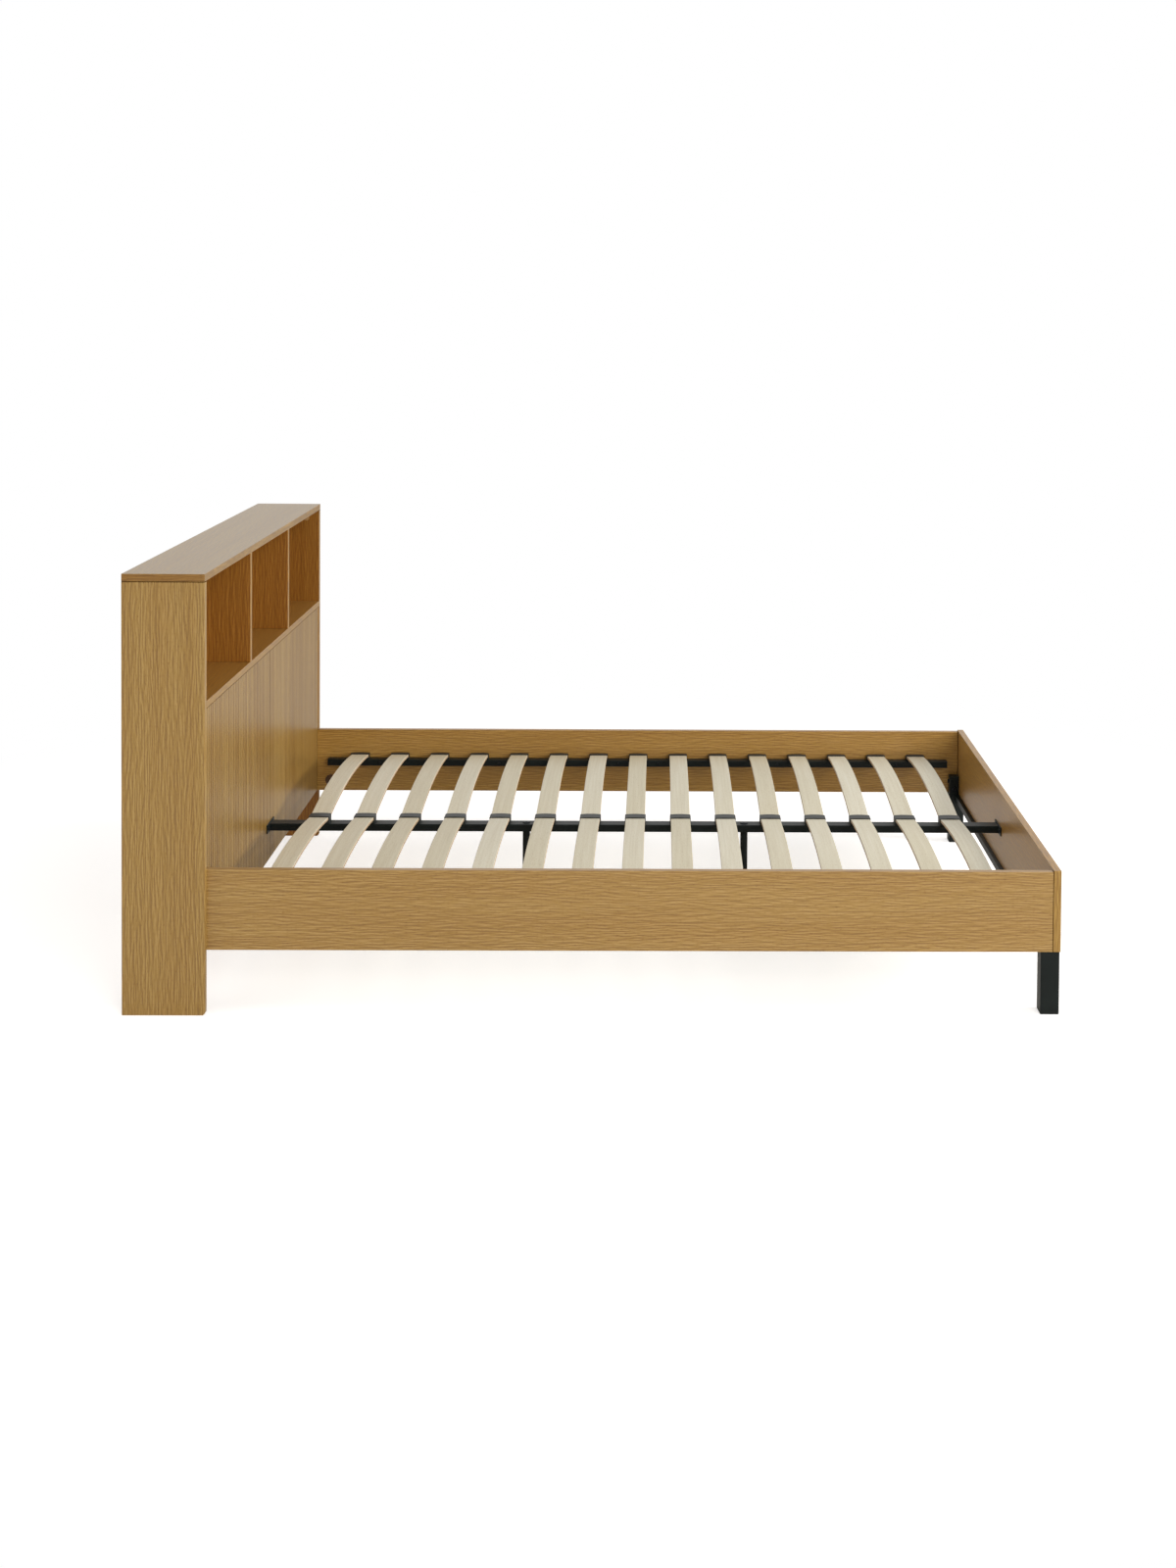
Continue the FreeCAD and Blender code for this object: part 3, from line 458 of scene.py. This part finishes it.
def stand_in(name, mesh, nodes, material=None, body=BED):
    """Polish a mesh, put it in the scene and let it stand for CAD nodes."""
    if material:
        mesh.materials.clear()
        mesh.materials.append(material)
    mesh.shade_smooth()
    mesh.set_sharp_from_angle(angle=SOFT_ANGLE)
    rough = bpy.data.objects.new(f"{name}_rough", mesh)
    bpy.context.scene.collection.objects.link(rough)
    weigh = rough.modifiers.new("weigh", "WEIGHTED_NORMAL")
    weigh.keep_sharp = True
    polished = bpy.data.meshes.new_from_object(
        rough.evaluated_get(bpy.context.evaluated_depsgraph_get()))
    bpy.data.objects.remove(rough)
    polished.name = name
    made = bpy.data.objects.new(name, polished)
    bpy.context.scene.collection.objects.link(made)
    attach(made, body)
    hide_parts(*nodes)


# ---------------------------------------------------------------- geometry node trees

def shape_tree(name, **inputs):
    """Empty geometry tree with named inputs: the tree, its input node and its output node."""
    tree = bpy.data.node_groups.new(name, "GeometryNodeTree")
    tree.interface.new_socket("Geometry", in_out="INPUT", socket_type="NodeSocketGeometry")
    for label, kind in inputs.items():
        tree.interface.new_socket(label, in_out="INPUT", socket_type=f"NodeSocket{kind}")
    tree.interface.new_socket("Geometry", in_out="OUTPUT", socket_type="NodeSocketGeometry")
    return tree, tree.nodes.new("NodeGroupInput").outputs, tree.nodes.new("NodeGroupOutput").inputs


def grow(tree, points, edges=(), facings=None, **values):
    """Plain mesh that a tree makes from points and edges, with its named inputs set."""
    base = bpy.data.meshes.new(tree.name)
    base.from_pydata([tuple(point) for point in points], edges, [])
    if facings:
        facing = base.attributes.new("facing", "FLOAT_VECTOR", "POINT")
        for item, value in zip(facing.data, facings):
            item.vector = value
    carrier = bpy.data.objects.new(tree.name, base)
    bpy.context.scene.collection.objects.link(carrier)
    modifier = carrier.modifiers.new(tree.name, "NODES")
    modifier.node_group = tree
    for item in tree.interface.items_tree:
        if item.in_out == "INPUT" and item.name in values:
            modifier[item.identifier] = values[item.name]
    made = bpy.data.meshes.new_from_object(
        carrier.evaluated_get(bpy.context.evaluated_depsgraph_get()))
    bpy.data.objects.remove(carrier)
    return made


def in_steps(tree, given):
    """The points of the base mesh, repeated in steps along X."""
    step = add(tree, "ShaderNodeCombineXYZ", {0: given["Pitch"]})
    line = add(tree, "GeometryNodeMeshLine", {"Count": given["Rows"], "Offset": step})
    rows = add(tree, "GeometryNodeInstanceOnPoints", {"Points": given["Geometry"], "Instance": line})
    return add(tree, "GeometryNodeRealizeInstances", {"Geometry": rows})


def finish_tree(tree, given, result, copies):
    """End of a tree: its copies as one real mesh in the given material."""
    plain = add(tree, "GeometryNodeRealizeInstances", {"Geometry": copies})
    finished = add(tree, "GeometryNodeSetMaterial", {"Geometry": plain, "Material": given["Material"]})
    tree.links.new(finished.outputs[0], result["Geometry"])
    return tree


def slat_rows_tree():
    """Cambered strips with rounded edges, one on each point, in steps along X."""
    tree, given, result = shape_tree("sprung_slats", Length="Float", Width="Float", Thickness="Float",
                                     Camber="Float", Rounding="Float", Rows="Int", Pitch="Float",
                                     Seed="Int", Material="Material")
    half = add(tree, "ShaderNodeMath", {0: given["Length"], 1: 0.5}, operation="MULTIPLY")
    back = add(tree, "ShaderNodeMath", {0: half, 1: -1.0}, operation="MULTIPLY")
    arc = add(tree, "GeometryNodeCurveArc",
              {"Resolution": 25, "Start": add(tree, "ShaderNodeCombineXYZ", {1: back}),
               "Middle": add(tree, "ShaderNodeCombineXYZ", {2: given["Camber"]}),
               "End": add(tree, "ShaderNodeCombineXYZ", {1: half})}, mode="POINTS")
    section = add(tree, "GeometryNodeCurvePrimitiveQuadrilateral",
                  {"Width": given["Width"], "Height": given["Thickness"]})
    rounded = add(tree, "GeometryNodeFilletCurve", {"Curve": section, "Radius": given["Rounding"]},
                  mode="POLY")
    rounded.inputs["Count"].default_value = 3
    height = add(tree, "ShaderNodeSeparateXYZ", {0: add(tree, "GeometryNodeInputPosition")}).outputs["Y"]
    layer = add(tree, "ShaderNodeMath", {0: height, 1: given["Thickness"]}, operation="DIVIDE")
    marked = add(tree, "GeometryNodeStoreNamedAttribute",
                 {"Geometry": rounded, "Name": "layer", "Value": layer})
    strip = add(tree, "GeometryNodeCurveToMesh", {"Curve": arc, "Profile Curve": marked,
                                                  "Fill Caps": True})
    placed = add(tree, "GeometryNodeInstanceOnPoints", {"Points": in_steps(tree, given),
                                                        "Instance": strip})
    chance = add(tree, "FunctionNodeRandomValue", {"Seed": given["Seed"]}, data_type="FLOAT")
    toned = add(tree, "GeometryNodeStoreNamedAttribute",
                {"Geometry": placed, "Name": "tone", "Value": chance.outputs[1]}, domain="INSTANCE")
    return finish_tree(tree, given, result, toned)


def copies_tree():
    """Copies of one piece: on each point, turned from Z to the point's facing, in steps along X."""
    tree, given, result = shape_tree("copies", Piece="Object", Rows="Int", Pitch="Float",
                                     Material="Material")
    source = add(tree, "GeometryNodeObjectInfo", {"Object": given["Piece"]}).outputs["Geometry"]
    facing = add(tree, "GeometryNodeInputNamedAttribute", {"Name": "facing"}, data_type="FLOAT_VECTOR")
    turn = add(tree, "FunctionNodeAlignRotationToVector", {"Vector": facing}, axis="Z")
    placed = add(tree, "GeometryNodeInstanceOnPoints",
                 {"Points": in_steps(tree, given), "Instance": source, "Rotation": turn})
    return finish_tree(tree, given, result, placed)


def weld_tree():
    """Weld bead: overlapping flat drops along the edges of the base mesh."""
    tree, given, result = shape_tree("weld_bead", Radius="Float", Step="Float", Material="Material")
    path = add(tree, "GeometryNodeMeshToCurve", {"Mesh": given["Geometry"]})
    spaced = add(tree, "GeometryNodeResampleCurve", {"Curve": path, "Length": given["Step"]}, mode="LENGTH")
    drop = add(tree, "GeometryNodeMeshUVSphere", {"Segments": 10, "Rings": 6, "Radius": given["Radius"]})
    turn = add(tree, "FunctionNodeAlignRotationToVector",
               {"Vector": add(tree, "GeometryNodeInputTangent")}, axis="Z")
    drops = add(tree, "GeometryNodeInstanceOnPoints",
                {"Points": spaced, "Instance": drop, "Rotation": turn, "Scale": (1.0, 1.0, 0.7)})
    return finish_tree(tree, given, result, drops)


def thread_tree():
    """Screw thread: a fine rope wound round a stem."""
    tree, given, result = shape_tree("thread", Radius="Float", Height="Float", Turns="Float",
                                     Depth="Float", Material="Material")
    helix = add(tree, "GeometryNodeCurveSpiral",
                {"Resolution": 20, "Rotations": given["Turns"], "Start Radius": given["Radius"],
                 "End Radius": given["Radius"], "Height": given["Height"]})
    rib = add(tree, "GeometryNodeCurvePrimitiveCircle", {"Resolution": 4, "Radius": given["Depth"]})
    wound = add(tree, "GeometryNodeCurveToMesh", {"Curve": helix, "Profile Curve": rib,
                                                  "Fill Caps": True})
    placed = add(tree, "GeometryNodeInstanceOnPoints", {"Points": given["Geometry"], "Instance": wound})
    return finish_tree(tree, given, result, placed)


# ---------------------------------------------------------------- what the CAD nodes tell

def islands(node):
    """The points of each separate solid of a CAD node, as one list for each."""
    whole = bmesh.new()
    whole.from_mesh(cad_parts[node].data)
    bmesh.ops.remove_doubles(whole, verts=whole.verts, dist=SAME_POINT)
    left = set(whole.verts)
    found = []
    while left:
        island = []
        waiting = [left.pop()]
        while waiting:
            vertex = waiting.pop()
            island.append(vertex.co.copy())
            for edge in vertex.link_edges:
                other = edge.other_vert(vertex)
                if other in left:
                    left.remove(other)
                    waiting.append(other)
        found.append(island)
    whole.free()
    return found


def seats(node, diameter):
    """(place, facing) of the outer face of each round piece of a CAD node that has this diameter.

    The outer end is the thicker one, and where both are the same, the one nearer to the bed's middle.
    """
    found = []
    for points in islands(node):
        low = Vector([min(point[i] for point in points) for i in range(3)])
        high = Vector([max(point[i] for point in points) for i in range(3)])
        size = high - low
        along = max(range(3), key=lambda i: abs(size[i] - size[i - 1]) + abs(size[i] - size[i - 2]))
        if abs(size[along - 1] - diameter) > SAME_DIAMETER:
            continue
        middle = (low + high) / 2
        ends = []
        for end in (low[along], high[along]):
            centre = middle.copy()
            centre[along] = end
            reach = max((point - centre).length for point in points
                        if abs(point[along] - end) < SAME_PLANE)
            ends.append((round(reach / MM), -centre.length, centre))
        outer = max(ends, key=lambda item: item[:2])[2]
        found.append((outer, (outer - middle).normalized()))
    return found


# ---------------------------------------------------------------- pieces of the slat base

def slats():
    """Thirty sprung slats as one piece."""
    middle = (SLAT_LOW + SLAT_HIGH) / 2
    low = SLAT_LOW.z + SLAT_THICKNESS / 2
    camber = SLAT_HIGH.z - SLAT_LOW.z - SLAT_THICKNESS
    mesh = grow(slat_rows_tree(), [(middle.x, side * middle.y, low) for side in SIDES.values()],
                Length=SLAT_LENGTH, Width=SLAT_WIDTH, Thickness=SLAT_THICKNESS, Camber=camber,
                Rounding=SLAT_ROUNDING, Rows=len(SLAT_ROWS), Pitch=PITCH, Seed=SEED, Material=BIRCH)
    stand_in("slats", mesh,
             [f"slat_{side}_{row:02d}" for side in SIDES for row in SLAT_ROWS])


def slat_caps(name):
    """A row of moulded caps with softened edges, from the form of the first one."""
    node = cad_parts[name]
    first = bmesh.new()
    first.from_mesh(node.data)
    bmesh.ops.remove_doubles(first, verts=first.verts, dist=SAME_POINT)
    spare = [vertex for vertex in first.verts if vertex.co.x > SLAT_LOW.x + PITCH / 2]
    bmesh.ops.delete(first, geom=spare, context="VERTS")
    bmesh.ops.dissolve_limit(first, angle_limit=FLAT_ANGLE, verts=first.verts, edges=first.edges)
    sharp = [edge for edge in first.edges
             if edge.is_convex and len(edge.link_faces) == 2
             and edge.calc_face_angle() > SHARP_ANGLE and edge.calc_length() > SHORT_EDGE]
    bmesh.ops.bevel(first, geom=sharp, offset=CAP_EDGE, segments=2, affect="EDGES", clamp_overlap=True)
    mesh = bpy.data.meshes.new(f"{name}_first")
    first.to_mesh(mesh)
    first.free()
    pattern = bpy.data.objects.new(f"{name}_first", mesh)
    row = grow(COPIES, [(0, 0, 0)], facings=[(0, 0, 1)], Piece=pattern, Rows=len(SLAT_ROWS),
               Pitch=PITCH, Material=NYLON)
    bpy.data.objects.remove(pattern)
    stand_in(name, row, [name])


def bearers():
    """Rounded steel tubes on the rails."""
    for side in SIDES:
        low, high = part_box(f"side_bearer_{side}")
        mesh = from_bmesh(f"bearer_{side}",
                          lambda made: bar(made, "X", low, high, TUBE_CORNER, TUBE_WALL))
        stand_in(f"bearer_{side}", mesh, [f"side_bearer_{side}"], POWDER)


def joined(name, meshes):
    """One mesh out of several."""
    whole = bmesh.new()
    for mesh in meshes:
        whole.from_mesh(mesh)
    made = bpy.data.meshes.new(name)
    whole.to_mesh(made)
    whole.free()
    return made


def welded(name, node, steel, corners, edges):
    """Black steel piece that a function fills, with weld beads along the edges between the corners."""
    bead = grow(WELD, corners, edges, Radius=WELD_RADIUS, Step=WELD_STEP, Material=POWDER)
    mesh = joined(name, [from_bmesh(f"{name}_bars", steel), bead])
    stand_in(name, mesh, [node], POWDER)


def spine():
    """Centre rail: a flat tube between two end plates, with a weld bead round each end."""
    core = (SPINE_LOW.z + SPINE_HIGH.z) / 2
    low = Vector((SPINE_LOW.x + END_PLATE, -SPINE_HALF, core - SPINE_TUBE / 2))
    high = Vector((SPINE_HIGH.x - END_PLATE, SPINE_HALF, core + SPINE_TUBE / 2))

    def steel(made):
        bar(made, "X", low, high, TUBE_CORNER)
        for start in (SPINE_LOW.x, SPINE_HIGH.x - END_PLATE):
            bar(made, "X", Vector((start, SPINE_LOW.y, SPINE_LOW.z)),
                Vector((start + END_PLATE, SPINE_HIGH.y, SPINE_HIGH.z)), TUBE_CORNER)

    corners = []
    edges = []
    for place in (low.x, high.x):
        first = len(corners)
        corners += [(place, low.y, low.z), (place, high.y, low.z), (place, high.y, high.z),
                    (place, low.y, high.z)]
        edges += [(first + i, first + (i + 1) % 4) for i in range(4)]
    welded("centre_spine", "centre_rail", steel, corners, edges)


def support_legs():
    """Round support legs, and the screw feet that turn in their plugs."""
    for end in ENDS:
        low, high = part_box(f"support_leg_{end}")
        middle = (low + high) / 2
        radius = (high.x - low.x) / 2
        slim = radius - EDGE_BREAK
        collar = low.z + PLUG_COLLAR
        sleeve = collar + PLUG_GROOVE
        tube = ((radius - PLUG_RIM, low.z), (slim, low.z), (radius, low.z + EDGE_BREAK), (radius, collar),
                (slim, collar + EDGE_BREAK), (slim, sleeve), (radius, sleeve + EDGE_BREAK),
                (radius, high.z - EDGE_BREAK), (slim, high.z))
        mesh = from_bmesh(f"support_{end}",
                          lambda made: turned(made, tube, (middle.x, middle.y, 0), sides=40))
        stand_in(f"support_{end}", mesh, [f"support_leg_{end}"], POWDER)
        screw_foot(end, middle)


def screw_foot(end, middle):
    """Plastic disc foot and its threaded zinc stem, which ride on the foot's own body."""
    body = f"{end}_screw_foot"
    node = f"screw_foot_{end}"
    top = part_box(node)[1].z
    disc = scaled(((12.5, 0), (14.2, 0.3), (15, 1.2), (15, 4.6), (14.4, 5.8), (12.8, 6.6), (7.6, 7.4),
                   (6.6, 8.0), (4.0, 8.0), (4.0, 7.0)))
    mesh = from_bmesh(f"pad_{end}", lambda made: turned(made, disc, (middle.x, middle.y, 0), sides=40))
    stand_in(f"foot_pad_{end}", mesh, [node], NYLON, body)
    stem = ((STEM_CORE, STEM_START), (STEM_CORE, top - STEM_TIP), (STEM_CORE - STEM_TIP, top))
    rod = from_bmesh(f"stem_{end}", lambda made: turned(made, stem, (middle.x, middle.y, 0), sides=24))
    height = top - THREAD_START - THREAD_RUNOUT
    wound = grow(THREAD, [(middle.x, middle.y, THREAD_START)], Radius=STEM_CORE, Height=height,
                 Turns=height / THREAD_PITCH, Depth=THREAD_DEPTH, Material=ZINC)
    stand_in(f"foot_stem_{end}", joined(f"foot_stem_{end}", [rod, wound]), [node], ZINC, body)


# ---------------------------------------------------------------- foot frame and fittings

def foot_steel():
    """Welded foot frame: two square legs, the bar between them and a short post on each leg."""
    leg_in = STEEL_HIGH.y - LEG_SIZE
    leg_x = (STEEL_HIGH.x - LEG_SIZE, STEEL_HIGH.x)
    bar_out = STEEL_HIGH.x - CROSSBAR_SETBACK
    bar_x = (bar_out - CROSSBAR, bar_out)
    post_out = RAIL_LOW.y
    corners = []
    edges = []

    def steel(made):
        bar(made, "Y", Vector((bar_x[0], -leg_in, LEG_TOP - CROSSBAR)),
            Vector((bar_x[1], leg_in, LEG_TOP)), TUBE_CORNER)
        for side in SIDES.values():
            y = sorted((side * leg_in, side * STEEL_HIGH.y))
            bar(made, "Z", Vector((leg_x[0], y[0], STEEL_LOW.z)), Vector((leg_x[1], y[1], LEG_TOP)),
                STEEL_CORNER)
            y = sorted((side * (post_out - POST), side * post_out))
            bar(made, "Z", Vector((FOOT_LOW.x - POST, y[0], LEG_TOP)),
                Vector((FOOT_LOW.x, y[1], STEEL_HIGH.z)), TUBE_CORNER)

    for side in SIDES.values():
        inner = side * leg_in
        first = len(corners)
        corners += [(bar_x[0], inner, LEG_TOP), (bar_x[0], inner, LEG_TOP - CROSSBAR),
                    (bar_x[1], inner, LEG_TOP - CROSSBAR), (bar_x[1], inner, LEG_TOP)]
        edges += [(first + i, first + i + 1) for i in range(3)]
        first = len(corners)
        post_in = side * (post_out - POST)
        corners += [(FOOT_LOW.x, post_in, LEG_TOP), (FOOT_LOW.x - POST, post_in, LEG_TOP),
                    (FOOT_LOW.x - POST, side * post_out, LEG_TOP)]
        edges += [(first + i, first + i + 1) for i in range(2)]
    welded("foot_steel", "foot_frame", steel, corners, edges)


def plugs():
    """Plastic plugs under the legs: a rounded flange stands on the floor."""
    def flanges(made):
        for side in SIDES.values():
            y = sorted((side * (PLUG_HIGH.y - LEG_SIZE), side * PLUG_HIGH.y))
            bar(made, "Z", Vector((PLUG_LOW.x, y[0], PLUG_LOW.z)),
                Vector((PLUG_HIGH.x, y[1], PLUG_FLANGE)), STEEL_CORNER)
            bar(made, "Z", Vector((PLUG_LOW.x + STEEL_CORNER, y[0] + STEEL_CORNER, PLUG_FLANGE)),
                Vector((PLUG_HIGH.x - STEEL_CORNER, y[1] - STEEL_CORNER, PLUG_HIGH.z)), STEEL_CORNER)

    stand_in("plugs", from_bmesh("plugs", flanges), ["leg_plugs"], NYLON)


def fittings(name, node, diameter, steps, material, sides=48):
    """One turned form at every round piece of this diameter in a CAD node; 0 is its outer face."""
    found = seats(node, diameter)
    form = from_bmesh(name, lambda made: turned(made, scaled(steps), sides=sides))
    pattern = bpy.data.objects.new(name, form)
    mesh = grow(COPIES, [place for place, facing in found], facings=[facing for place, facing in found],
                Piece=pattern, Rows=1, Pitch=0.0, Material=material)
    bpy.data.objects.remove(pattern)
    stand_in(name, mesh, [node])


# Turned forms, in millimetres from the outer face.
PAN_HEAD = ((2, -4), (2, -2.5), (4, -2.5), (4, -1.6), (3.8, -1.0), (3.3, -0.45), (2.7, -0.1),
            (2.3, 0), (cross(1.9, 0.5), 0), (cross(1.7, 0.4), -1.3))
MUSHROOM_HEAD = ((4, -6), (4, -3), (11, -3), (11, -2.2), (10.2, -1.2), (8.4, -0.4), (6, 0),
                 (hexagon(3.2), 0), (hexagon(3.2), -2))
SOCKET_HEAD = ((3, -6), (3, -4), (6, -4), (6, -0.5), (5.5, 0), (hexagon(2.9), 0), (hexagon(2.9), -2.2))
CAM_HOUSING = ((17.2, -10), (17.2, -1.5), (17.5, -1.5), (17.5, -0.5), (17.0, 0), (15.4, 0), (15.0, -0.6),
               (9.4, -0.6), (9.0, -0.2), (cross(7.0, 1.1), -0.2), (cross(6.6, 0.9), -3.0))
COVER_CAP = ((7.4, -4), (7.4, 0), (8.6, 0), (8.6, 0.5), (8.2, 0.9), (6.5, 1.1))


# ---------------------------------------------------------------- camera, light and floor

def camera():
    """The photograph's camera; its optical centre lies above the middle of the frame."""
    data = bpy.data.cameras.new("camera")
    data.lens = FOCAL_PIXELS / FRAME_HEIGHT * SENSOR
    data.sensor_width = SENSOR
    data.shift_x = (FRAME_WIDTH / 2 - OPTICAL_CENTRE[0]) / FRAME_HEIGHT
    data.shift_y = (OPTICAL_CENTRE[1] - FRAME_HEIGHT / 2) / FRAME_HEIGHT
    data.clip_end = 100
    made = bpy.data.objects.new("camera", data)
    back = CAMERA_RIGHT.cross(CAMERA_UP)
    turn = Matrix((CAMERA_RIGHT, CAMERA_UP, back)).transposed()
    made.matrix_world = Matrix.Translation(CAMERA_PLACE) @ turn.to_4x4()
    bpy.context.scene.collection.objects.link(made)
    bpy.context.scene.camera = made


def lamp(name, place, aim_height, size, power):
    """A soft square lamp that looks at a point above the origin."""
    data = bpy.data.lights.new(name, "AREA")
    data.size = size
    data.energy = power
    data.color = srgb(LAMPLIGHT)[:3]
    made = bpy.data.objects.new(name, data)
    made.location = place
    sight = Vector((0.0, 0.0, aim_height)) - Vector(place)
    made.rotation_euler = sight.to_track_quat("-Z", "Y").to_euler()
    bpy.context.scene.collection.objects.link(made)


def studio():
    """White studio: the world lights evenly, and shows white to the camera and in reflections."""
    world = bpy.data.worlds.new("studio")
    world.use_nodes = True
    tree = world.node_tree
    tree.nodes.clear()
    rays = add(tree, "ShaderNodeLightPath")
    seen = add(tree, "ShaderNodeMath", {0: rays.outputs["Is Camera Ray"], 1: rays.outputs["Is Glossy Ray"]},
               operation="MAXIMUM")
    shown = add(tree, "ShaderNodeMath", {0: seen, 1: rays.outputs["Is Transmission Ray"]},
                operation="MAXIMUM")
    fill = add(tree, "ShaderNodeBackground", {"Color": srgb("#fbf8f4"), "Strength": 0.5})
    white = add(tree, "ShaderNodeBackground", {"Color": srgb("#ffffff"), "Strength": 1.0})
    mix = add(tree, "ShaderNodeMixShader", {0: shown, 1: fill, 2: white})
    add(tree, "ShaderNodeOutputWorld", {"Surface": mix})
    bpy.context.scene.world = world
    lamp("front_lamp", (3.6, -8.0, 3.2), 0.4, 4.0, 345)
    lamp("side_lamp", (7.0, -0.6, 2.4), 0.4, 1.6, 330)
    lamp("left_lamp", (-7.0, -3.5, 3.0), 0.3, 3.0, 75)


def floor():
    """Pale floor that keeps the bed's soft shadow, and turns into the white backdrop further out."""
    mesh = bpy.data.meshes.new("floor")
    ends = (-FLOOR_REACH, FLOOR_REACH)
    mesh.from_pydata([(x, y, 0) for x in ends for y in ends], [], [(0, 2, 3, 1)])
    made = bpy.data.objects.new("floor", mesh)
    bpy.context.scene.collection.objects.link(made)
    surface, tree, out = new_material("white_studio_floor")
    matt = add(tree, "ShaderNodeBsdfDiffuse", {"Color": srgb("#f2f2f2")})
    glow = add(tree, "ShaderNodeEmission", {"Color": srgb("#ffffff"), "Strength": FLOOR_GLOW})
    both = add(tree, "ShaderNodeAddShader", {0: matt, 1: glow})
    white = add(tree, "ShaderNodeEmission", {"Color": srgb("#ffffff"), "Strength": 1.0})
    away = add(tree, "ShaderNodeVectorMath", {0: add(tree, "ShaderNodeTexCoord").outputs["Object"]},
               operation="LENGTH").outputs["Value"]
    fade = add(tree, "ShaderNodeMapRange", {0: away, 1: FADE_START, 2: FADE_END},
               interpolation_type="SMOOTHSTEP")
    shown = add(tree, "ShaderNodeMixShader", {0: fade, 1: both, 2: white})
    rays = add(tree, "ShaderNodeLightPath")
    mix = add(tree, "ShaderNodeMixShader", {0: rays.outputs["Is Camera Ray"], 1: matt, 2: shown})
    tree.links.new(mix.outputs[0], out.inputs["Surface"])
    mesh.materials.append(surface)


def dress(material, *names):
    """Give CAD nodes a material."""
    for name in names:
        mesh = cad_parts[name].data
        mesh.materials.clear()
        mesh.materials.append(material)


# ---------------------------------------------------------------- the scene

# Colours of the oak foil: growth line, ground, light streak, and the painted shade that dims the grooves,
# the joints and the faces inside the shelves.
FOIL = {"line": "#93723f", "ground": "#a48246", "light": "#b49359", "groove": "#8f7b63",
        "joint": "#6b5d4e", "shelf": "#eac890"}
BIRCH = birch_ply()
# Powder coat is near black and satin, with a faint orange peel.
POWDER = grainy("black_powder_coat", "#0a1110", "#101817", 1.1, 0.05, 0.42, shine=0.2)
# Moulded nylon is dark grey and dull.
NYLON = grainy("dark_moulded_nylon", "#1f2220", "#252826", 0.6, 0.02, 0.46, shine=0.3)
# The rail connectors' housings are smooth brown plastic with a soft gloss.
BROWN = grainy("brown_plastic_housing", "#452c15", "#4f341a", 0.6, 0.02, 0.42)
# Cover caps have the foil's colour without its grain.
OAK_PLASTIC = grainy("oak_coloured_cover_cap", "#a9834f", "#b18b57", 0.6, 0.02, 0.45)
# Zinc plating is a pale, even metal, and blackened steel a dark one with a soft shine.
ZINC = grainy("zinc_plated_steel", "#b4b5b4", "#c2c3c1", 0.8, 0.01, 0.32, metallic=1.0)
BLACKENED = grainy("blackened_steel", "#26282a", "#2e3032", 0.5, 0.01, 0.38, metallic=1.0)
COPIES = copies_tree()
WELD = weld_tree()
THREAD = thread_tree()

bpy.context.scene.view_settings.view_transform = "Standard"
camera()
studio()
floor()
# Painted shade on the gables: a dark line under the top board, and the inner face that looks into the
# shelves dimmed and warmed.
for side, way in SIDES.items():
    dress(oak_foil(f"oak_foil_gable_{side}", "Z", "Y", tone="#f6f6ee", band_tone="#fafaea",
                   joint=("Z", TOP_LOW.z), shaded_side=-way), f"gable_{side}")
# Painted shade: the dividers look into the shelves on both sides, so their broad faces are dimmed and warmed
# all over.
dress(oak_foil("oak_foil_divider", "Z", "Y", tone=FOIL["shelf"], band_tone="#f5e994"), "divider_left",
      "divider_right")
# Painted shade: a dark line where each rail butts against the footboard.
dress(oak_foil("oak_foil_rail", "X", "Y", joint=("X", FOOT_LOW.x)), "side_rail_left")
# Painted shade: the far rail is a dimmer, warmer copy of the rail's foil, for the shade it stands in.
dress(oak_foil("oak_foil_far_rail", "X", "Y", tone="#fdf4d6", band_tone="#fdefcf",
               joint=("X", FOOT_LOW.x)), "side_rail_right")
dress(oak_foil("oak_foil_footboard", "Y", "X", tone="#fdf4e0", band_tone="#fff5d5", end_tone="#f7fcf7"),
      "footboard")
dress(oak_foil("oak_foil_top", "Y", "Z", tone="#f0f4f2", band_tone="#e1dcd5", end_tone="#f2e3bb"),
      "headboard_top")
# Painted shade: the shelf's broad faces are dimmed and warmed inside the shelves, with a dark line along its
# underside joint.
dress(oak_foil("oak_foil_shelf", "Y", "Z", tone="#fdeccb", band_tone="#ede4bd", end_tone="#e8e1d6",
               joint=("Z", SHELF_LOW.z)), "headboard_shelf", "headboard_base")
# Painted shade: the grooves' walls are darkened, with a dark line at the seam between the two panels.
dress(oak_foil("oak_foil_grooved_panel", "Z", "X", tone="#fbfdee", grooved=True, joint=("Y", 0.0)),
      "fluted_panel_left", "fluted_panel_right")
# Painted shade: the back's front face is dimmed and warmed like the other faces inside the shelves.
dress(oak_foil("oak_foil_back", "Z", "X", tone=FOIL["shelf"], raw_rear=True), "back_panel")
dress(oak_foil("oak_foil_stile", "Z", "X"), "centre_stile")
slats()
for row_name in ("slat_caps_left", "slat_caps_right", "slat_caps_centre"):
    slat_caps(row_name)
bearers()
spine()
support_legs()
foot_steel()
plugs()
fittings("wood_screw_heads", "wood_screws", WOOD_SCREW_HEAD, PAN_HEAD, BLACKENED)
fittings("support_bolt_heads", "frame_bolts", SUPPORT_BOLT_HEAD, MUSHROOM_HEAD, BLACKENED)
fittings("corner_bolt_heads", "frame_bolts", CORNER_BOLT_HEAD, SOCKET_HEAD, BLACKENED)
fittings("connector_housings", "rail_connectors", CONNECTOR, CAM_HOUSING, BROWN)
fittings("cover_caps", "cam_fittings", CAM, COVER_CAP, OAK_PLASTIC)
